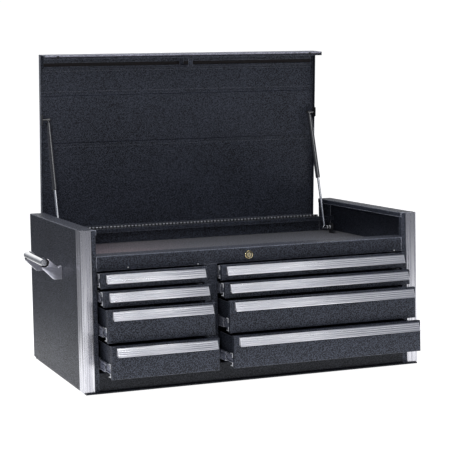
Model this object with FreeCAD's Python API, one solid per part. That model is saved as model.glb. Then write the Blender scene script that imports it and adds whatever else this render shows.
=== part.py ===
import FreeCAD, Part
import math
import os

# Top chest for machinist's tools: a folded steel case with an open-topped till under a
# hinged lid, and two banks of four drawers on telescoping slides.
# Millimetres. +X is the chest's right as seen from the front, +Y its back, +Z up.
# The origin is the middle of the chest's footprint, on the surface that it stands on.

# ---------------------------------------------------------------- case
CHEST_WIDTH = 1048.0
CHEST_DEPTH = 610.0
CASE_HEIGHT = 457.0
BASE_HEIGHT = 5.0            # height of the base pan that the case stands on
SHEET = 1.2                  # steel sheet of the case
BEND = 1.0                   # inside radius of a fold
SIDE_WALL = 46.8             # thickness of each hollow side wall
TRIM_SHEET = 1.5             # aluminium of the corner trims
TRIM_FRONT = 32.0            # leg of a trim on the front
TRIM_SIDE = 37.0             # leg of a trim on the side
TOP_RETURN = 14.0            # lip that the side's top folds down inside the chest
SIDE_FLANGE = 22.0           # folds at the side panel's front, back and bottom
POST_FLANGE = 22.8           # front fold of the inner wall, part hidden by the trim
POST_RETURN = 15.0           # what the inner wall keeps beside the till, behind the post
BASE_INSET = 5.0             # base pan's side behind the case's side
BASE_LIP = 10.0              # base pan's front ahead of the trims

HALF_WIDTH = CHEST_WIDTH / 2.0
FRONT = -CHEST_DEPTH / 2.0
BACK = CHEST_DEPTH / 2.0
CASE_BOTTOM = BASE_HEIGHT
CASE_TOP = BASE_HEIGHT + CASE_HEIGHT
SKIN = HALF_WIDTH - TRIM_SHEET               # outer face of a side panel
FRAME_FRONT = FRONT + TRIM_SHEET             # front plane of posts and panel folds
BAY = SKIN - SIDE_WALL + SHEET + 0.3         # inner face of an inner wall, from the middle
TILL_HALF = SKIN - SHEET                     # inner face of the skin, where the till ends

# ---------------------------------------------------------------- rails, till and back
RAIL_FRONT = FRONT + 2.0
TOP_RAIL_BOTTOM = 345.0
TOP_RAIL_TOP = 387.5
LEDGE_DEPTH = 66.0           # flat top of the front rail, which the lid shuts on
RAIL_RETURN = 15.0
BOTTOM_RAIL_TOP = 57.0
BOTTOM_RAIL_RETURN = 20.0
TILL_FLOOR_TOP = 351.0
TILL_FLOOR_FLANGE = 20.0
LINER_THICKNESS = 2.0
BACK_TOP = 401.5
BACK_FLANGE = 25.0
BACK_LIP = 12.5
DIVIDER_LEFT = -157.5
DIVIDER_RIGHT = -117.5
DIVIDER_BACK = 285.0

# ---------------------------------------------------------------- drawers
FACE_TOP = 343.0             # top edge of the highest drawer front
SHORT_FACE = 43.8
TALL_FACE = 91.6
ROW_GAP = 4.0
FACE_HEIGHTS = (SHORT_FACE, SHORT_FACE, TALL_FACE, TALL_FACE)
FACE_DEPTH = 14.0            # drawer front, a shallow folded pan
FACE_SIDE_GAP = 2.5
FACE_CORNER = 2.0
TRAY_SHEET = 1.0
TRAY_BACK = 241.0
TRAY_FLOOR_RISE = 5.0        # tray floor above the drawer front's lower edge
TRAY_TOP_DROP = 8.0          # tray rim below the drawer front's upper edge
PULLED_LEFT = (34.0, 60.0, 92.0, 123.0)      # how far each drawer stands open
PULLED_RIGHT = (30.0, 56.0, 91.0, 120.0)

PULL_INSETS = (14.5, 8.0)    # pull's left and right ends from those of the drawer front
PULL_DROP = 4.4              # pull's top edge below the front's top edge
PULL_HEIGHT = 24.0
PULL_TOP_REACH = 5.4         # how far the pull stands out at its top and bottom
PULL_BOTTOM_REACH = 18.1
PULL_WALL = 1.8
PULL_CURL = 6.0              # lower lip turned back under the hood
PULL_CURL_RISE = 0.8
PULL_BEND = 0.4

# ---------------------------------------------------------------- drawer slides
SLIDE_SPACE = 12.7           # gap between the bay's wall and the tray
SLIDE_LENGTH = 508.0
SLIDE_START = RAIL_FRONT + FACE_DEPTH + 2.0
SLIDE_RISE = 22.0            # slide's middle above the drawer front's lower edge
SLIDE_SHEET = 1.2
SLIDE_BEND = 0.8
OUTER_MEMBER = (0.0, 9.5, 32.0)              # from the bay's wall: near, far, height
MIDDLE_MEMBER = (3.0, 8.9, 26.4)
INNER_MEMBER = (6.0, SLIDE_SPACE, 21.0)

# ---------------------------------------------------------------- lid and its hinge
LID_OPEN = 86.0              # degrees from shut
LID_GAP = 1.5                # between the lid's ends and the side walls
LID_FRONT = FRONT + 55.0
LID_LIP_BOTTOM = TOP_RAIL_TOP + 2.0
LID_LIP = 12.0
LID_SIDE_FLANGE = 20.0
KNUCKLE_RADIUS = 3.2
PIN_RADIUS = 1.5
PIN_FIT = 0.05
HINGE_LEAF = 1.0
LEAF_WIDTH = 23.0
KNUCKLE_COUNT = 37
KNUCKLE_GAP = 0.3
HINGE_HALF = 474.0
HINGE_Y = BACK + 1.0
HINGE_Z = BACK_TOP + KNUCKLE_RADIUS
STIFFENER_FRONT = -119.0
STIFFENER_BACK = 36.0
STIFFENER_DROP = 4.0
STIFFENER_RIM = 12.0
STIFFENER_HALF = 472.0
CORNER_BAND = 40.0           # width of the stiffener in the lid's front corner
CORNER_DROP = 12.0
CORNER_HALF = 462.0
BUMPER_RADIUS = 5.0
BUMPER_HEIGHT = 1.7
BUMPER_X = 430.0

# ---------------------------------------------------------------- gas struts
STRUT_X = 452.5
STUD_CLEAR = 0.3             # between a strut's upper stud and the lid's bracket
STRUT_FOOT = (202.0, 373.5)                  # Y and Z of the lower pivot
STRUT_HEAD = (316.0, 756.5)                  # Y and Z of the upper pivot, lid open
CYLINDER_RADIUS = 7.5
CYLINDER_WALL = 1.0
CYLINDER_LENGTH = 230.0
ROD_RADIUS = 4.0
ROD_LENGTH = 232.0
ROD_FIT = 0.05
PISTON_RADIUS = 6.2
EYE_RADIUS = 6.0
EYE_WIDTH = 8.0
STUD_RADIUS = 3.0
BRACKET_SHEET = 2.0
BRACKET_HALF = 15.0          # half the width of a chest bracket
BRACKET_FOOT = 18.0          # its foot on the till's floor, turned out to the skin
BRACKET_RISE = 13.0          # above the stud
RIVET_RADIUS = 2.5

# ---------------------------------------------------------------- lock
LOCK_X = -19.0
LOCK_Z = 365.0
LOCK_FACE_RADIUS = 12.5
LOCK_FACE = 2.5
LOCK_BODY_RADIUS = 9.5
LOCK_BORE_RADIUS = 5.55
PLUG_RADIUS = 5.5
LOCK_BODY_END = -262.0
LOCK_NUT_RADIUS = 13.0
LOCK_NUT = 6.0
TAIL_RADIUS = 4.0
CAM_START = RAIL_FRONT + LEDGE_DEPTH + 4.0
CAM_REACH = 16.0
CAM_WIDTH = 10.0
CAM_SHEET = 2.0
STRIKE_SHEET = 1.5
STRIKE_WIDTH = 14.0
STRIKE_X = LOCK_X + 10.0     # hook's near side, clear of the cam until it turns
STRIKE_TAB = 24.0
STRIKE_TAB_Z = 356.5

# ---------------------------------------------------------------- side handles
GRIP_RADIUS = 11.0
GRIP_WALL = 1.5
GRIP_OUT = 49.0              # grip's axis from the chest's side
GRIP_Z = 351.5
HANDLE_MIDDLE = 29.0         # handle's middle along Y, a little towards the back
HANDLE_SPAN = 107.0          # middle of each bracket from the middle of the handle
HANDLE_BRACKET = 16.0
HANDLE_FOOT = (301.0, 340.0)                 # Z of the bracket's foot on the side
SADDLE_UPPER = (11.5, 9.5)   # bracket's lips beside the grip, from the grip's axis
SADDLE_LOWER = (-8.5, -15.5)
SADDLE_LIP = 1.5             # round of each lip
SADDLE_RECESS = 1.2          # wider mouth of the saddle round the grip's end
GRIP_SHORT = 4.0             # grip's end behind the bracket's outer face
BOLT_RADIUS = 3.0

# ---------------------------------------------------------------- plain shapes
PLANES = {
    "x": (lambda a, b: FreeCAD.Vector(0.0, a, b), FreeCAD.Vector(1.0, 0.0, 0.0)),
    "y": (lambda a, b: FreeCAD.Vector(a, 0.0, b), FreeCAD.Vector(0.0, 1.0, 0.0)),
    "z": (lambda a, b: FreeCAD.Vector(a, b, 0.0), FreeCAD.Vector(0.0, 0.0, 1.0)),
}


def block(x, y, z):
    """A box from pairs of limits along X, Y and Z."""
    corner = FreeCAD.Vector(min(x), min(y), min(z))
    return Part.makeBox(abs(x[1] - x[0]), abs(y[1] - y[0]), abs(z[1] - z[0]), corner)


def mirrored(shape):
    """The same piece on the other side of the chest."""
    return shape.mirror(FreeCAD.Vector(0.0, 0.0, 0.0), FreeCAD.Vector(1.0, 0.0, 0.0))


def both_sides(shape):
    return [shape, mirrored(shape)]


def outline(points, radii):
    """A closed wire in the XY plane, with a round of the given radius at each point."""
    count = len(points)
    starts = []
    edges = []
    for index, (here, radius) in enumerate(zip(points, radii)):
        if radius <= 0.0:
            starts.append((here, here))
            continue
        to_last = (points[index - 1] - here).normalize()
        to_next = (points[(index + 1) % count] - here).normalize()
        half_angle = to_last.getAngle(to_next) / 2.0
        reach = radius / math.tan(half_angle)
        middle = (to_last + to_next).normalize()
        crown = here + middle * (radius / math.sin(half_angle) - radius)
        first = here + to_last * reach
        last = here + to_next * reach
        edges.append(Part.Arc(first, crown, last).toShape())
        starts.append((first, last))
    for index in range(count):
        leave = starts[index][1]
        arrive = starts[(index + 1) % count][0]
        if leave.distanceToPoint(arrive) > 1e-6:
            edges.append(Part.LineSegment(leave, arrive).toShape())
    return Part.Wire(Part.__sortEdges__(edges))


def extruded(points, axis, start, end, radii=None):
    """A prism along an axis from an outline of (a, b) pairs across that axis."""
    place, along = PLANES[axis]
    corners = [place(a, b) + along * start for a, b in points]
    wire = outline(corners, radii or [0.0] * len(corners))
    return Part.Face(wire).extrude(along * (end - start))


def folded(points, side, axis, start, end, sheet=SHEET, bend=BEND):
    """Folded sheet: the line of its outer face, with the metal on its left (+1) or right (-1)."""
    line = [FreeCAD.Vector(a, b, 0.0) for a, b in points]
    steps = [(line[i + 1] - line[i]).normalize() for i in range(len(line) - 1)]
    normals = [FreeCAD.Vector(-step.y, step.x, 0.0) * side for step in steps]
    inner = [line[0] + normals[0] * sheet]
    radii = [0.0]
    inner_radii = [0.0]
    for index in range(1, len(line) - 1):
        before = normals[index - 1]
        after = normals[index]
        inner.append(line[index] + (before + after) * (sheet / (1.0 + before.dot(after))))
        turns_in = steps[index - 1].cross(steps[index]).z * side > 0.0
        radii.append(bend + sheet if turns_in else bend)
        inner_radii.append(bend if turns_in else bend + sheet)
    inner.append(line[-1] + normals[-1] * sheet)
    radii.append(0.0)
    inner_radii.append(0.0)
    loop = [(p.x, p.y) for p in line + inner[::-1]]
    return extruded(loop, axis, start, end, radii + inner_radii[::-1])


def rod(centre, axis, start, end, radius):
    """A round bar along an axis; centre gives the other two coordinates."""
    place, along = PLANES[axis]
    return Part.makeCylinder(radius, end - start, place(*centre) + along * start, along)


def pipe(centre, axis, start, end, radius, bore):
    return rod(centre, axis, start, end, radius).cut(rod(centre, axis, start, end, bore))


def turned(profile, centre, axis):
    """A solid of revolution: (radius, place along the axis) pairs, about a line along Y."""
    points = [FreeCAD.Vector(r, s, 0.0) for r, s in profile]
    face = Part.Face(Part.makePolygon(points + points[:1]))
    solid = face.revolve(FreeCAD.Vector(0, 0, 0), FreeCAD.Vector(0, 1, 0), 360.0)
    solid.translate(centre)
    return solid


# ---------------------------------------------------------------- case pieces
def side_panel():
    """Left outer skin, folded over the wall's top and round its front, back and bottom."""
    section = [
        (-SKIN + SIDE_FLANGE, CASE_BOTTOM),
        (-SKIN, CASE_BOTTOM),
        (-SKIN, CASE_TOP),
        (-BAY + SHEET, CASE_TOP),
        (-BAY + SHEET, CASE_TOP - TOP_RETURN),
    ]
    shell = folded(section, -1, "y", FRAME_FRONT, BACK)
    round_top = [0.0, 0.0, 0.0, BEND + SHEET]
    front = [
        (-SKIN, CASE_BOTTOM),
        (-SKIN + SIDE_FLANGE, CASE_BOTTOM),
        (-SKIN + SIDE_FLANGE, CASE_TOP),
        (-SKIN, CASE_TOP),
    ]
    back = [(-BAY if a > -SKIN else a, b) for a, b in front]
    pieces = [
        extruded(front, "y", FRAME_FRONT, FRAME_FRONT + SHEET, round_top),
        extruded(back, "y", BACK - SHEET, BACK, round_top),
    ]
    holes = [rod((y, z), "x", -SKIN - 1.0, -SKIN + 2.0 * SHEET, BOLT_RADIUS)
             for y, z in handle_bolt_places()]
    return shell.multiFuse(pieces).removeSplitter().cut(Part.makeCompound(holes))


def inner_wall():
    """Left wall of the drawer bay, up to the till's floor; only its front fold, the post
    beside the trim, runs on to the top."""
    plan = [
        (-BAY - POST_FLANGE, FRAME_FRONT),
        (-BAY, FRAME_FRONT),
        (-BAY, BACK - SHEET),
        (-BAY - SIDE_FLANGE + 2.0, BACK - SHEET),
    ]
    wall = folded(plan, 1, "z", CASE_BOTTOM, CASE_TOP - SHEET - BEND)
    beside_till = block((-SKIN, -BAY + 1.0), (FRAME_FRONT + POST_RETURN, BACK),
                        (TILL_FLOOR_TOP - SHEET, CASE_TOP))
    return wall.cut(beside_till)


def corner_trim():
    """Aluminium angle over the left front corner."""
    plan = [
        (-HALF_WIDTH + TRIM_FRONT, FRONT),
        (-HALF_WIDTH, FRONT),
        (-HALF_WIDTH, FRONT + TRIM_SIDE),
    ]
    return folded(plan, -1, "z", CASE_BOTTOM, CASE_TOP, sheet=TRIM_SHEET, bend=0.0)


def base_pan():
    """Shallow pan under the whole case; its folded front edge shows as a thin dark lip."""
    half = HALF_WIDTH - BASE_INSET
    front = FRONT - BASE_LIP
    back = BACK - BASE_INSET
    section = [
        (RAIL_FRONT, BASE_HEIGHT),
        (front, BASE_HEIGHT),
        (front, 0.0),
        (back, 0.0),
        (back, BASE_HEIGHT),
    ]
    end_plate = [(front, 0.0), (back, 0.0), (back, BASE_HEIGHT), (front, BASE_HEIGHT)]
    fold = BEND + SHEET
    left = extruded(end_plate, "x", -half, -half + SHEET, [fold, fold, 0.0, fold])
    pan = folded(section, 1, "x", -half, half)
    return pan.multiFuse(both_sides(left)).removeSplitter()


def back_panel():
    """Back between the inner walls; its top fold runs on to both skins."""
    section = [
        (BACK - BOTTOM_RAIL_RETURN, CASE_BOTTOM),
        (BACK, CASE_BOTTOM),
        (BACK, BACK_TOP),
        (BACK - BACK_FLANGE, BACK_TOP),
        (BACK - BACK_FLANGE, BACK_TOP - BACK_LIP),
    ]
    panel = folded(section, 1, "x", -BAY, BAY)
    top = [(BACK - SHEET, BACK_TOP)] + section[-2:]
    return panel.fuse(folded(top, 1, "x", -TILL_HALF, TILL_HALF)).removeSplitter()


def top_rail():
    """Front rail with the ledge that the lid shuts on, which runs behind the posts to both
    skins; bored for the lock and its tail."""
    back = RAIL_FRONT + LEDGE_DEPTH
    section = [
        (RAIL_FRONT + RAIL_RETURN, TOP_RAIL_BOTTOM),
        (RAIL_FRONT, TOP_RAIL_BOTTOM),
        (RAIL_FRONT, TOP_RAIL_TOP),
        (back, TOP_RAIL_TOP),
        (back, TILL_FLOOR_TOP - SHEET),
    ]
    rail = folded(section, -1, "x", -BAY, BAY)
    wing = folded([(FRAME_FRONT + SHEET, TOP_RAIL_TOP)] + section[-2:], -1, "x", -TILL_HALF, -BAY)
    wing = wing.cut(inner_wall())
    rail = rail.multiFuse(both_sides(wing)).removeSplitter()
    hole = rod((LOCK_X, LOCK_Z), "y", RAIL_FRONT - 1.0, RAIL_FRONT + 2.0 * SHEET,
               LOCK_BODY_RADIUS)
    tail_hole = rod((LOCK_X, LOCK_Z), "y", back - 2.0 * SHEET, back + 1.0, TAIL_RADIUS + 1.0)
    return rail.cut(hole).cut(tail_hole)


def bottom_rail():
    section = [
        (RAIL_FRONT + BOTTOM_RAIL_RETURN, BOTTOM_RAIL_TOP),
        (RAIL_FRONT, BOTTOM_RAIL_TOP),
        (RAIL_FRONT, CASE_BOTTOM),
        (RAIL_FRONT + BOTTOM_RAIL_RETURN, CASE_BOTTOM),
    ]
    return folded(section, 1, "x", -BAY, BAY)


def center_divider():
    """Channel between the two banks, notched round the rails' folds."""
    plan = [
        (DIVIDER_LEFT, DIVIDER_BACK),
        (DIVIDER_LEFT, RAIL_FRONT),
        (DIVIDER_RIGHT, RAIL_FRONT),
        (DIVIDER_RIGHT, DIVIDER_BACK),
    ]
    channel = folded(plan, 1, "z", CASE_BOTTOM, TILL_FLOOR_TOP - SHEET)
    across = (DIVIDER_LEFT - 1.0, DIVIDER_RIGHT + 1.0)
    low_notch = block(across, (FRONT, RAIL_FRONT + BOTTOM_RAIL_RETURN),
                      (CASE_BOTTOM, BOTTOM_RAIL_TOP))
    high_notch = block(across, (FRONT, RAIL_FRONT + RAIL_RETURN), (TOP_RAIL_BOTTOM, CASE_TOP))
    return channel.cut(low_notch).cut(high_notch)


def till_floor():
    """Floor between the inner walls, with a wing over each of them to the skin."""
    section = [
        (RAIL_FRONT + LEDGE_DEPTH, TILL_FLOOR_TOP),
        (BACK - SHEET, TILL_FLOOR_TOP),
        (BACK - SHEET, TILL_FLOOR_TOP - TILL_FLOOR_FLANGE),
    ]
    floor = folded(section, -1, "x", -BAY, BAY)
    wing = block((-TILL_HALF, -BAY), (RAIL_FRONT + LEDGE_DEPTH, BACK - SHEET),
                 (TILL_FLOOR_TOP - SHEET, TILL_FLOOR_TOP))
    return floor.multiFuse(both_sides(wing)).removeSplitter()


def till_liner():
    """Mat over the till's floor, cut out round the feet of the strut brackets."""
    mat = block((-TILL_HALF + 0.5, TILL_HALF - 0.5),
                (RAIL_FRONT + LEDGE_DEPTH + 0.5, BACK - SHEET - 0.5),
                (TILL_FLOOR_TOP, TILL_FLOOR_TOP + LINER_THICKNESS))
    y = STRUT_FOOT[0]
    foot = block((-BAY - BRACKET_FOOT - 0.5, -BAY + BRACKET_SHEET + 0.5),
                 (y - BRACKET_HALF - 0.5, y + BRACKET_HALF + 0.5),
                 (TILL_FLOOR_TOP, TILL_FLOOR_TOP + LINER_THICKNESS))
    return mat.cut(Part.makeCompound(both_sides(foot)))


# ---------------------------------------------------------------- drawers
def bank_limits(bank):
    """Left and right walls of a bank's bay."""
    return (-BAY, DIVIDER_LEFT) if bank == "left" else (DIVIDER_RIGHT, BAY)


def face_limits(row):
    """Lower and upper edge of the drawer front in a row, counted from 0 at the top."""
    top = FACE_TOP - sum(FACE_HEIGHTS[:row]) - ROW_GAP * row
    return top - FACE_HEIGHTS[row], top


def slide_height(row):
    return face_limits(row)[0] + SLIDE_RISE


def slide_member(size, wall, inward, row, opens_to_wall):
    """One rolled channel of a slide. The wall's X and the inward sign place it in the bay."""
    near, far, height = size
    mid = slide_height(row)
    low = mid - height / 2.0
    high = mid + height / 2.0
    web, lips = (far, near) if opens_to_wall else (near, far)
    section = [
        (wall + inward * lips, high),
        (wall + inward * web, high),
        (wall + inward * web, low),
        (wall + inward * lips, low),
    ]
    side = inward * (-1 if opens_to_wall else 1)
    return folded(section, side, "y", SLIDE_START, SLIDE_START + SLIDE_LENGTH,
                  sheet=SLIDE_SHEET, bend=SLIDE_BEND)


def slide_pair(size, bank, row, opens_to_wall=False):
    """The same member on both sides of a bay."""
    left, right = bank_limits(bank)
    return [
        slide_member(size, left, 1, row, opens_to_wall),
        slide_member(size, right, -1, row, opens_to_wall),
    ]


def drawer_tray(bank, row):
    """Open tray with a shallow folded pan as its front."""
    left, right = bank_limits(bank)
    low, high = face_limits(row)
    face_x = (left + FACE_SIDE_GAP, right - FACE_SIDE_GAP)
    face_back = RAIL_FRONT + FACE_DEPTH
    face = block(face_x, (RAIL_FRONT, face_back), (low, high))
    rounds = [edge for edge in face.Edges if touches_front(edge)]
    face = face.makeFillet(FACE_CORNER, rounds)
    hollow = block((face_x[0] + SHEET, face_x[1] - SHEET),
                   (RAIL_FRONT + SHEET, face_back + 1.0), (low + SHEET, high - SHEET))
    face = face.cut(hollow)
    tray_x = (left + SLIDE_SPACE, right - SLIDE_SPACE)
    tray_z = (low + TRAY_FLOOR_RISE, high - TRAY_TOP_DROP)
    tray = block(tray_x, (face_back - TRAY_SHEET, TRAY_BACK), tray_z)
    room = block((tray_x[0] + TRAY_SHEET, tray_x[1] - TRAY_SHEET),
                 (face_back, TRAY_BACK - TRAY_SHEET), (tray_z[0] + TRAY_SHEET, high))
    backing = block(tray_x, (face_back - TRAY_SHEET, face_back), (low, high))
    return face.multiFuse([tray.cut(room), backing]).removeSplitter()


def touches_front(edge):
    return abs(edge.BoundBox.YMin - RAIL_FRONT) < 1e-6 and edge.BoundBox.YLength < 1e-6


def drawer_pull(bank, row):
    """Aluminium extrusion: a slanting hood with a curled lower lip and a leg flat on the
    drawer front."""
    left, right = bank_limits(bank)
    top = face_limits(row)[1] - PULL_DROP
    low = top - PULL_HEIGHT
    face = RAIL_FRONT
    hood = [
        (face - PULL_BOTTOM_REACH + PULL_CURL, low + PULL_CURL_RISE),
        (face - PULL_BOTTOM_REACH, low),
        (face - PULL_TOP_REACH, top),
        (face, top),
        (face, low + PULL_WALL),
    ]
    start = left + FACE_SIDE_GAP + PULL_INSETS[0]
    end = right - FACE_SIDE_GAP - PULL_INSETS[1]
    return folded(hood, -1, "x", start, end, sheet=PULL_WALL, bend=PULL_BEND)


# ---------------------------------------------------------------- lid and hinge
def knuckle_rows(first):
    """Start and end along X of every second knuckle of the hinge."""
    pitch = 2.0 * HINGE_HALF / KNUCKLE_COUNT
    for index in range(first, KNUCKLE_COUNT, 2):
        start = -HINGE_HALF + index * pitch
        yield start + KNUCKLE_GAP / 2.0, start + pitch - KNUCKLE_GAP / 2.0


def chest_leaf():
    """Hinge leaf that lies on the back panel's top fold, with 19 knuckles."""
    leaf_z = (HINGE_Z - KNUCKLE_RADIUS, HINGE_Z - KNUCKLE_RADIUS + HINGE_LEAF)
    clear = HINGE_Y - KNUCKLE_RADIUS - 0.5
    leaf = block((-HINGE_HALF, HINGE_HALF), (HINGE_Y - LEAF_WIDTH, clear), leaf_z)
    pieces = []
    for start, end in knuckle_rows(0):
        pieces.append(block((start, end), (clear, HINGE_Y), leaf_z))
        pieces.append(rod((HINGE_Y, HINGE_Z), "x", start, end, KNUCKLE_RADIUS))
    bore = rod((HINGE_Y, HINGE_Z), "x", -HINGE_HALF, HINGE_HALF, PIN_RADIUS)
    return leaf.multiFuse(pieces).cut(bore).removeSplitter()


def lid_leaf():
    """Hinge leaf inside the lid's back fold, drawn with the lid shut."""
    leaf_y = (HINGE_Y + KNUCKLE_RADIUS - HINGE_LEAF, HINGE_Y + KNUCKLE_RADIUS)
    clear = HINGE_Z + KNUCKLE_RADIUS + 0.5
    leaf = block((-HINGE_HALF, HINGE_HALF), leaf_y, (clear, HINGE_Z + LEAF_WIDTH))
    pieces = []
    for start, end in knuckle_rows(1):
        pieces.append(block((start, end), leaf_y, (HINGE_Z, clear)))
        pieces.append(rod((HINGE_Y, HINGE_Z), "x", start, end, KNUCKLE_RADIUS))
    bore = rod((HINGE_Y, HINGE_Z), "x", -HINGE_HALF, HINGE_HALF, PIN_RADIUS + PIN_FIT)
    return leaf.multiFuse(pieces).cut(bore).removeSplitter()


def hinge_pin():
    return rod((HINGE_Y, HINGE_Z), "x", -HINGE_HALF, HINGE_HALF, PIN_RADIUS)


LID_HALF = BAY - SHEET - LID_GAP
LID_BACK = HINGE_Y + KNUCKLE_RADIUS + SHEET
LID_UNDERSIDE = CASE_TOP - SHEET


def lid_panel():
    """Shallow pan folded down on all four sides, deepest at the front, drawn shut."""
    section = [
        (LID_FRONT + LID_LIP, LID_LIP_BOTTOM),
        (LID_FRONT, LID_LIP_BOTTOM),
        (LID_FRONT, CASE_TOP),
        (LID_BACK, CASE_TOP),
        (LID_BACK, HINGE_Z + 1.0),
    ]
    low = CASE_TOP - LID_SIDE_FLANGE
    end_plate = [(LID_FRONT, low), (LID_BACK, low), (LID_BACK, CASE_TOP), (LID_FRONT, CASE_TOP)]
    rounds = [0.0, 0.0, BEND + SHEET, BEND + SHEET]
    left = extruded(end_plate, "x", -LID_HALF, -LID_HALF + SHEET, rounds)
    pan = folded(section, -1, "x", -LID_HALF, LID_HALF)
    return pan.multiFuse(both_sides(left)).removeSplitter()


def lid_stiffener():
    """Wide flat hat section spot-welded across the middle of the lid."""
    low = LID_UNDERSIDE - STIFFENER_DROP
    section = [
        (STIFFENER_FRONT - STIFFENER_RIM, LID_UNDERSIDE),
        (STIFFENER_FRONT, LID_UNDERSIDE),
        (STIFFENER_FRONT + STIFFENER_DROP, low),
        (STIFFENER_BACK - STIFFENER_DROP, low),
        (STIFFENER_BACK, LID_UNDERSIDE),
        (STIFFENER_BACK + STIFFENER_RIM, LID_UNDERSIDE),
    ]
    return folded(section, -1, "x", -STIFFENER_HALF, STIFFENER_HALF, bend=0.5)


def lid_corner_band():
    """Stiffener along the lid's front corner, behind the deep front fold."""
    front = LID_FRONT + SHEET
    low = LID_UNDERSIDE - CORNER_DROP
    section = [
        (front, low - 14.0),
        (front, low),
        (front + CORNER_BAND, low),
        (front + CORNER_BAND + 4.0, LID_UNDERSIDE),
        (front + CORNER_BAND + 14.0, LID_UNDERSIDE),
    ]
    return folded(section, -1, "x", -CORNER_HALF, CORNER_HALF, bend=0.5)


def lid_bumpers():
    """Rubber pads under the lid's front lip."""
    pad = rod((BUMPER_X, LID_FRONT + LID_LIP / 2.0), "z", LID_LIP_BOTTOM - BUMPER_HEIGHT,
              LID_LIP_BOTTOM, BUMPER_RADIUS)
    return both_sides(pad)


def lock_strike():
    """Hook hung from the lid's corner stiffener; its foot passes under the lock's cam."""
    top = LID_UNDERSIDE - CORNER_DROP - SHEET
    front = CAM_START - 2.0
    back = front + STRIKE_TAB
    section = [
        (back - STRIKE_TAB, top),
        (back, top),
        (back, STRIKE_TAB_Z),
        (front, STRIKE_TAB_Z),
    ]
    return folded(section, -1, "x", STRIKE_X, STRIKE_X + STRIKE_WIDTH, sheet=STRIKE_SHEET,
                  bend=0.5)


def opened(shape):
    """A piece of the lid, turned from shut to open about the hinge pin."""
    shape = shape.copy()
    shape.rotate(FreeCAD.Vector(0.0, HINGE_Y, HINGE_Z), FreeCAD.Vector(-1.0, 0.0, 0.0), LID_OPEN)
    return shape


# ---------------------------------------------------------------- gas struts
def shut_head():
    """Y and Z of the upper pivot with the lid shut."""
    angle = math.radians(LID_OPEN)
    y = STRUT_HEAD[0] - HINGE_Y
    z = STRUT_HEAD[1] - HINGE_Z
    return (HINGE_Y + y * math.cos(angle) - z * math.sin(angle),
            HINGE_Z + y * math.sin(angle) + z * math.cos(angle))


def along_strut(shape):
    """Lays a piece drawn up the Z axis from the foot's pivot along the open strut."""
    lean = math.degrees(math.atan2(STRUT_FOOT[0] - STRUT_HEAD[0], STRUT_HEAD[1] - STRUT_FOOT[1]))
    shape.rotate(FreeCAD.Vector(0, 0, 0), FreeCAD.Vector(1, 0, 0), lean)
    shape.translate(FreeCAD.Vector(-STRUT_X, STRUT_FOOT[0], STRUT_FOOT[1]))
    return shape


def strut_length():
    return math.hypot(STRUT_HEAD[0] - STRUT_FOOT[0], STRUT_HEAD[1] - STRUT_FOOT[1])


def revolved_up(profile):
    """Turns (radius, height) pairs about the Z axis."""
    points = [FreeCAD.Vector(r, 0.0, h) for r, h in profile]
    face = Part.Face(Part.makePolygon(points + points[:1]))
    return face.revolve(FreeCAD.Vector(0, 0, 0), FreeCAD.Vector(0, 0, 1), 360.0)


def strut_rod():
    """Piston rod with its piston, and the eye that turns on the chest's stud."""
    shaft = revolved_up([
        (0.0, EYE_RADIUS - 1.5),
        (ROD_RADIUS, EYE_RADIUS - 1.5),
        (ROD_RADIUS, ROD_LENGTH - 8.0),
        (PISTON_RADIUS, ROD_LENGTH - 8.0),
        (PISTON_RADIUS, ROD_LENGTH),
        (0.0, ROD_LENGTH),
    ])
    eye = rod((0.0, 0.0), "x", -EYE_WIDTH / 2.0, EYE_WIDTH / 2.0, EYE_RADIUS)
    bore = rod((0.0, 0.0), "x", -EYE_WIDTH, EYE_WIDTH, STUD_RADIUS + ROD_FIT)
    return along_strut(shaft.fuse(eye).cut(bore).removeSplitter())


def strut_cylinder():
    """Gas cylinder: closed at its head, with a gland round the rod at its foot, and the stud
    that fastens its eye to the lid."""
    head = strut_length()
    top = head - EYE_RADIUS - 4.0
    foot = head - CYLINDER_LENGTH
    bore = CYLINDER_RADIUS - CYLINDER_WALL
    tube = revolved_up([
        (ROD_RADIUS + ROD_FIT, foot),
        (CYLINDER_RADIUS - 1.0, foot),
        (CYLINDER_RADIUS, foot + 2.0),
        (CYLINDER_RADIUS, top - 2.0),
        (CYLINDER_RADIUS - 2.0, top),
        (0.0, top),
        (0.0, top - 4.0),
        (bore, top - 4.0),
        (bore, foot + 10.0),
        (ROD_RADIUS + ROD_FIT, foot + 10.0),
    ])
    neck = rod((0.0, 0.0), "z", top - 1.0, head - EYE_RADIUS + 1.5, 3.5)
    eye = rod((0.0, head), "x", -EYE_WIDTH / 2.0, EYE_WIDTH / 2.0, EYE_RADIUS)
    reach = LID_HALF - SHEET - BRACKET_SHEET - STUD_CLEAR - STRUT_X
    stud = rod((0.0, head), "x", -reach, 0.0, STUD_RADIUS)
    cap = rod((0.0, head), "x", EYE_WIDTH / 2.0, EYE_WIDTH / 2.0 + 1.5, STUD_RADIUS + 1.0)
    return along_strut(tube.multiFuse([neck, eye, stud, cap]).removeSplitter())


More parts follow.
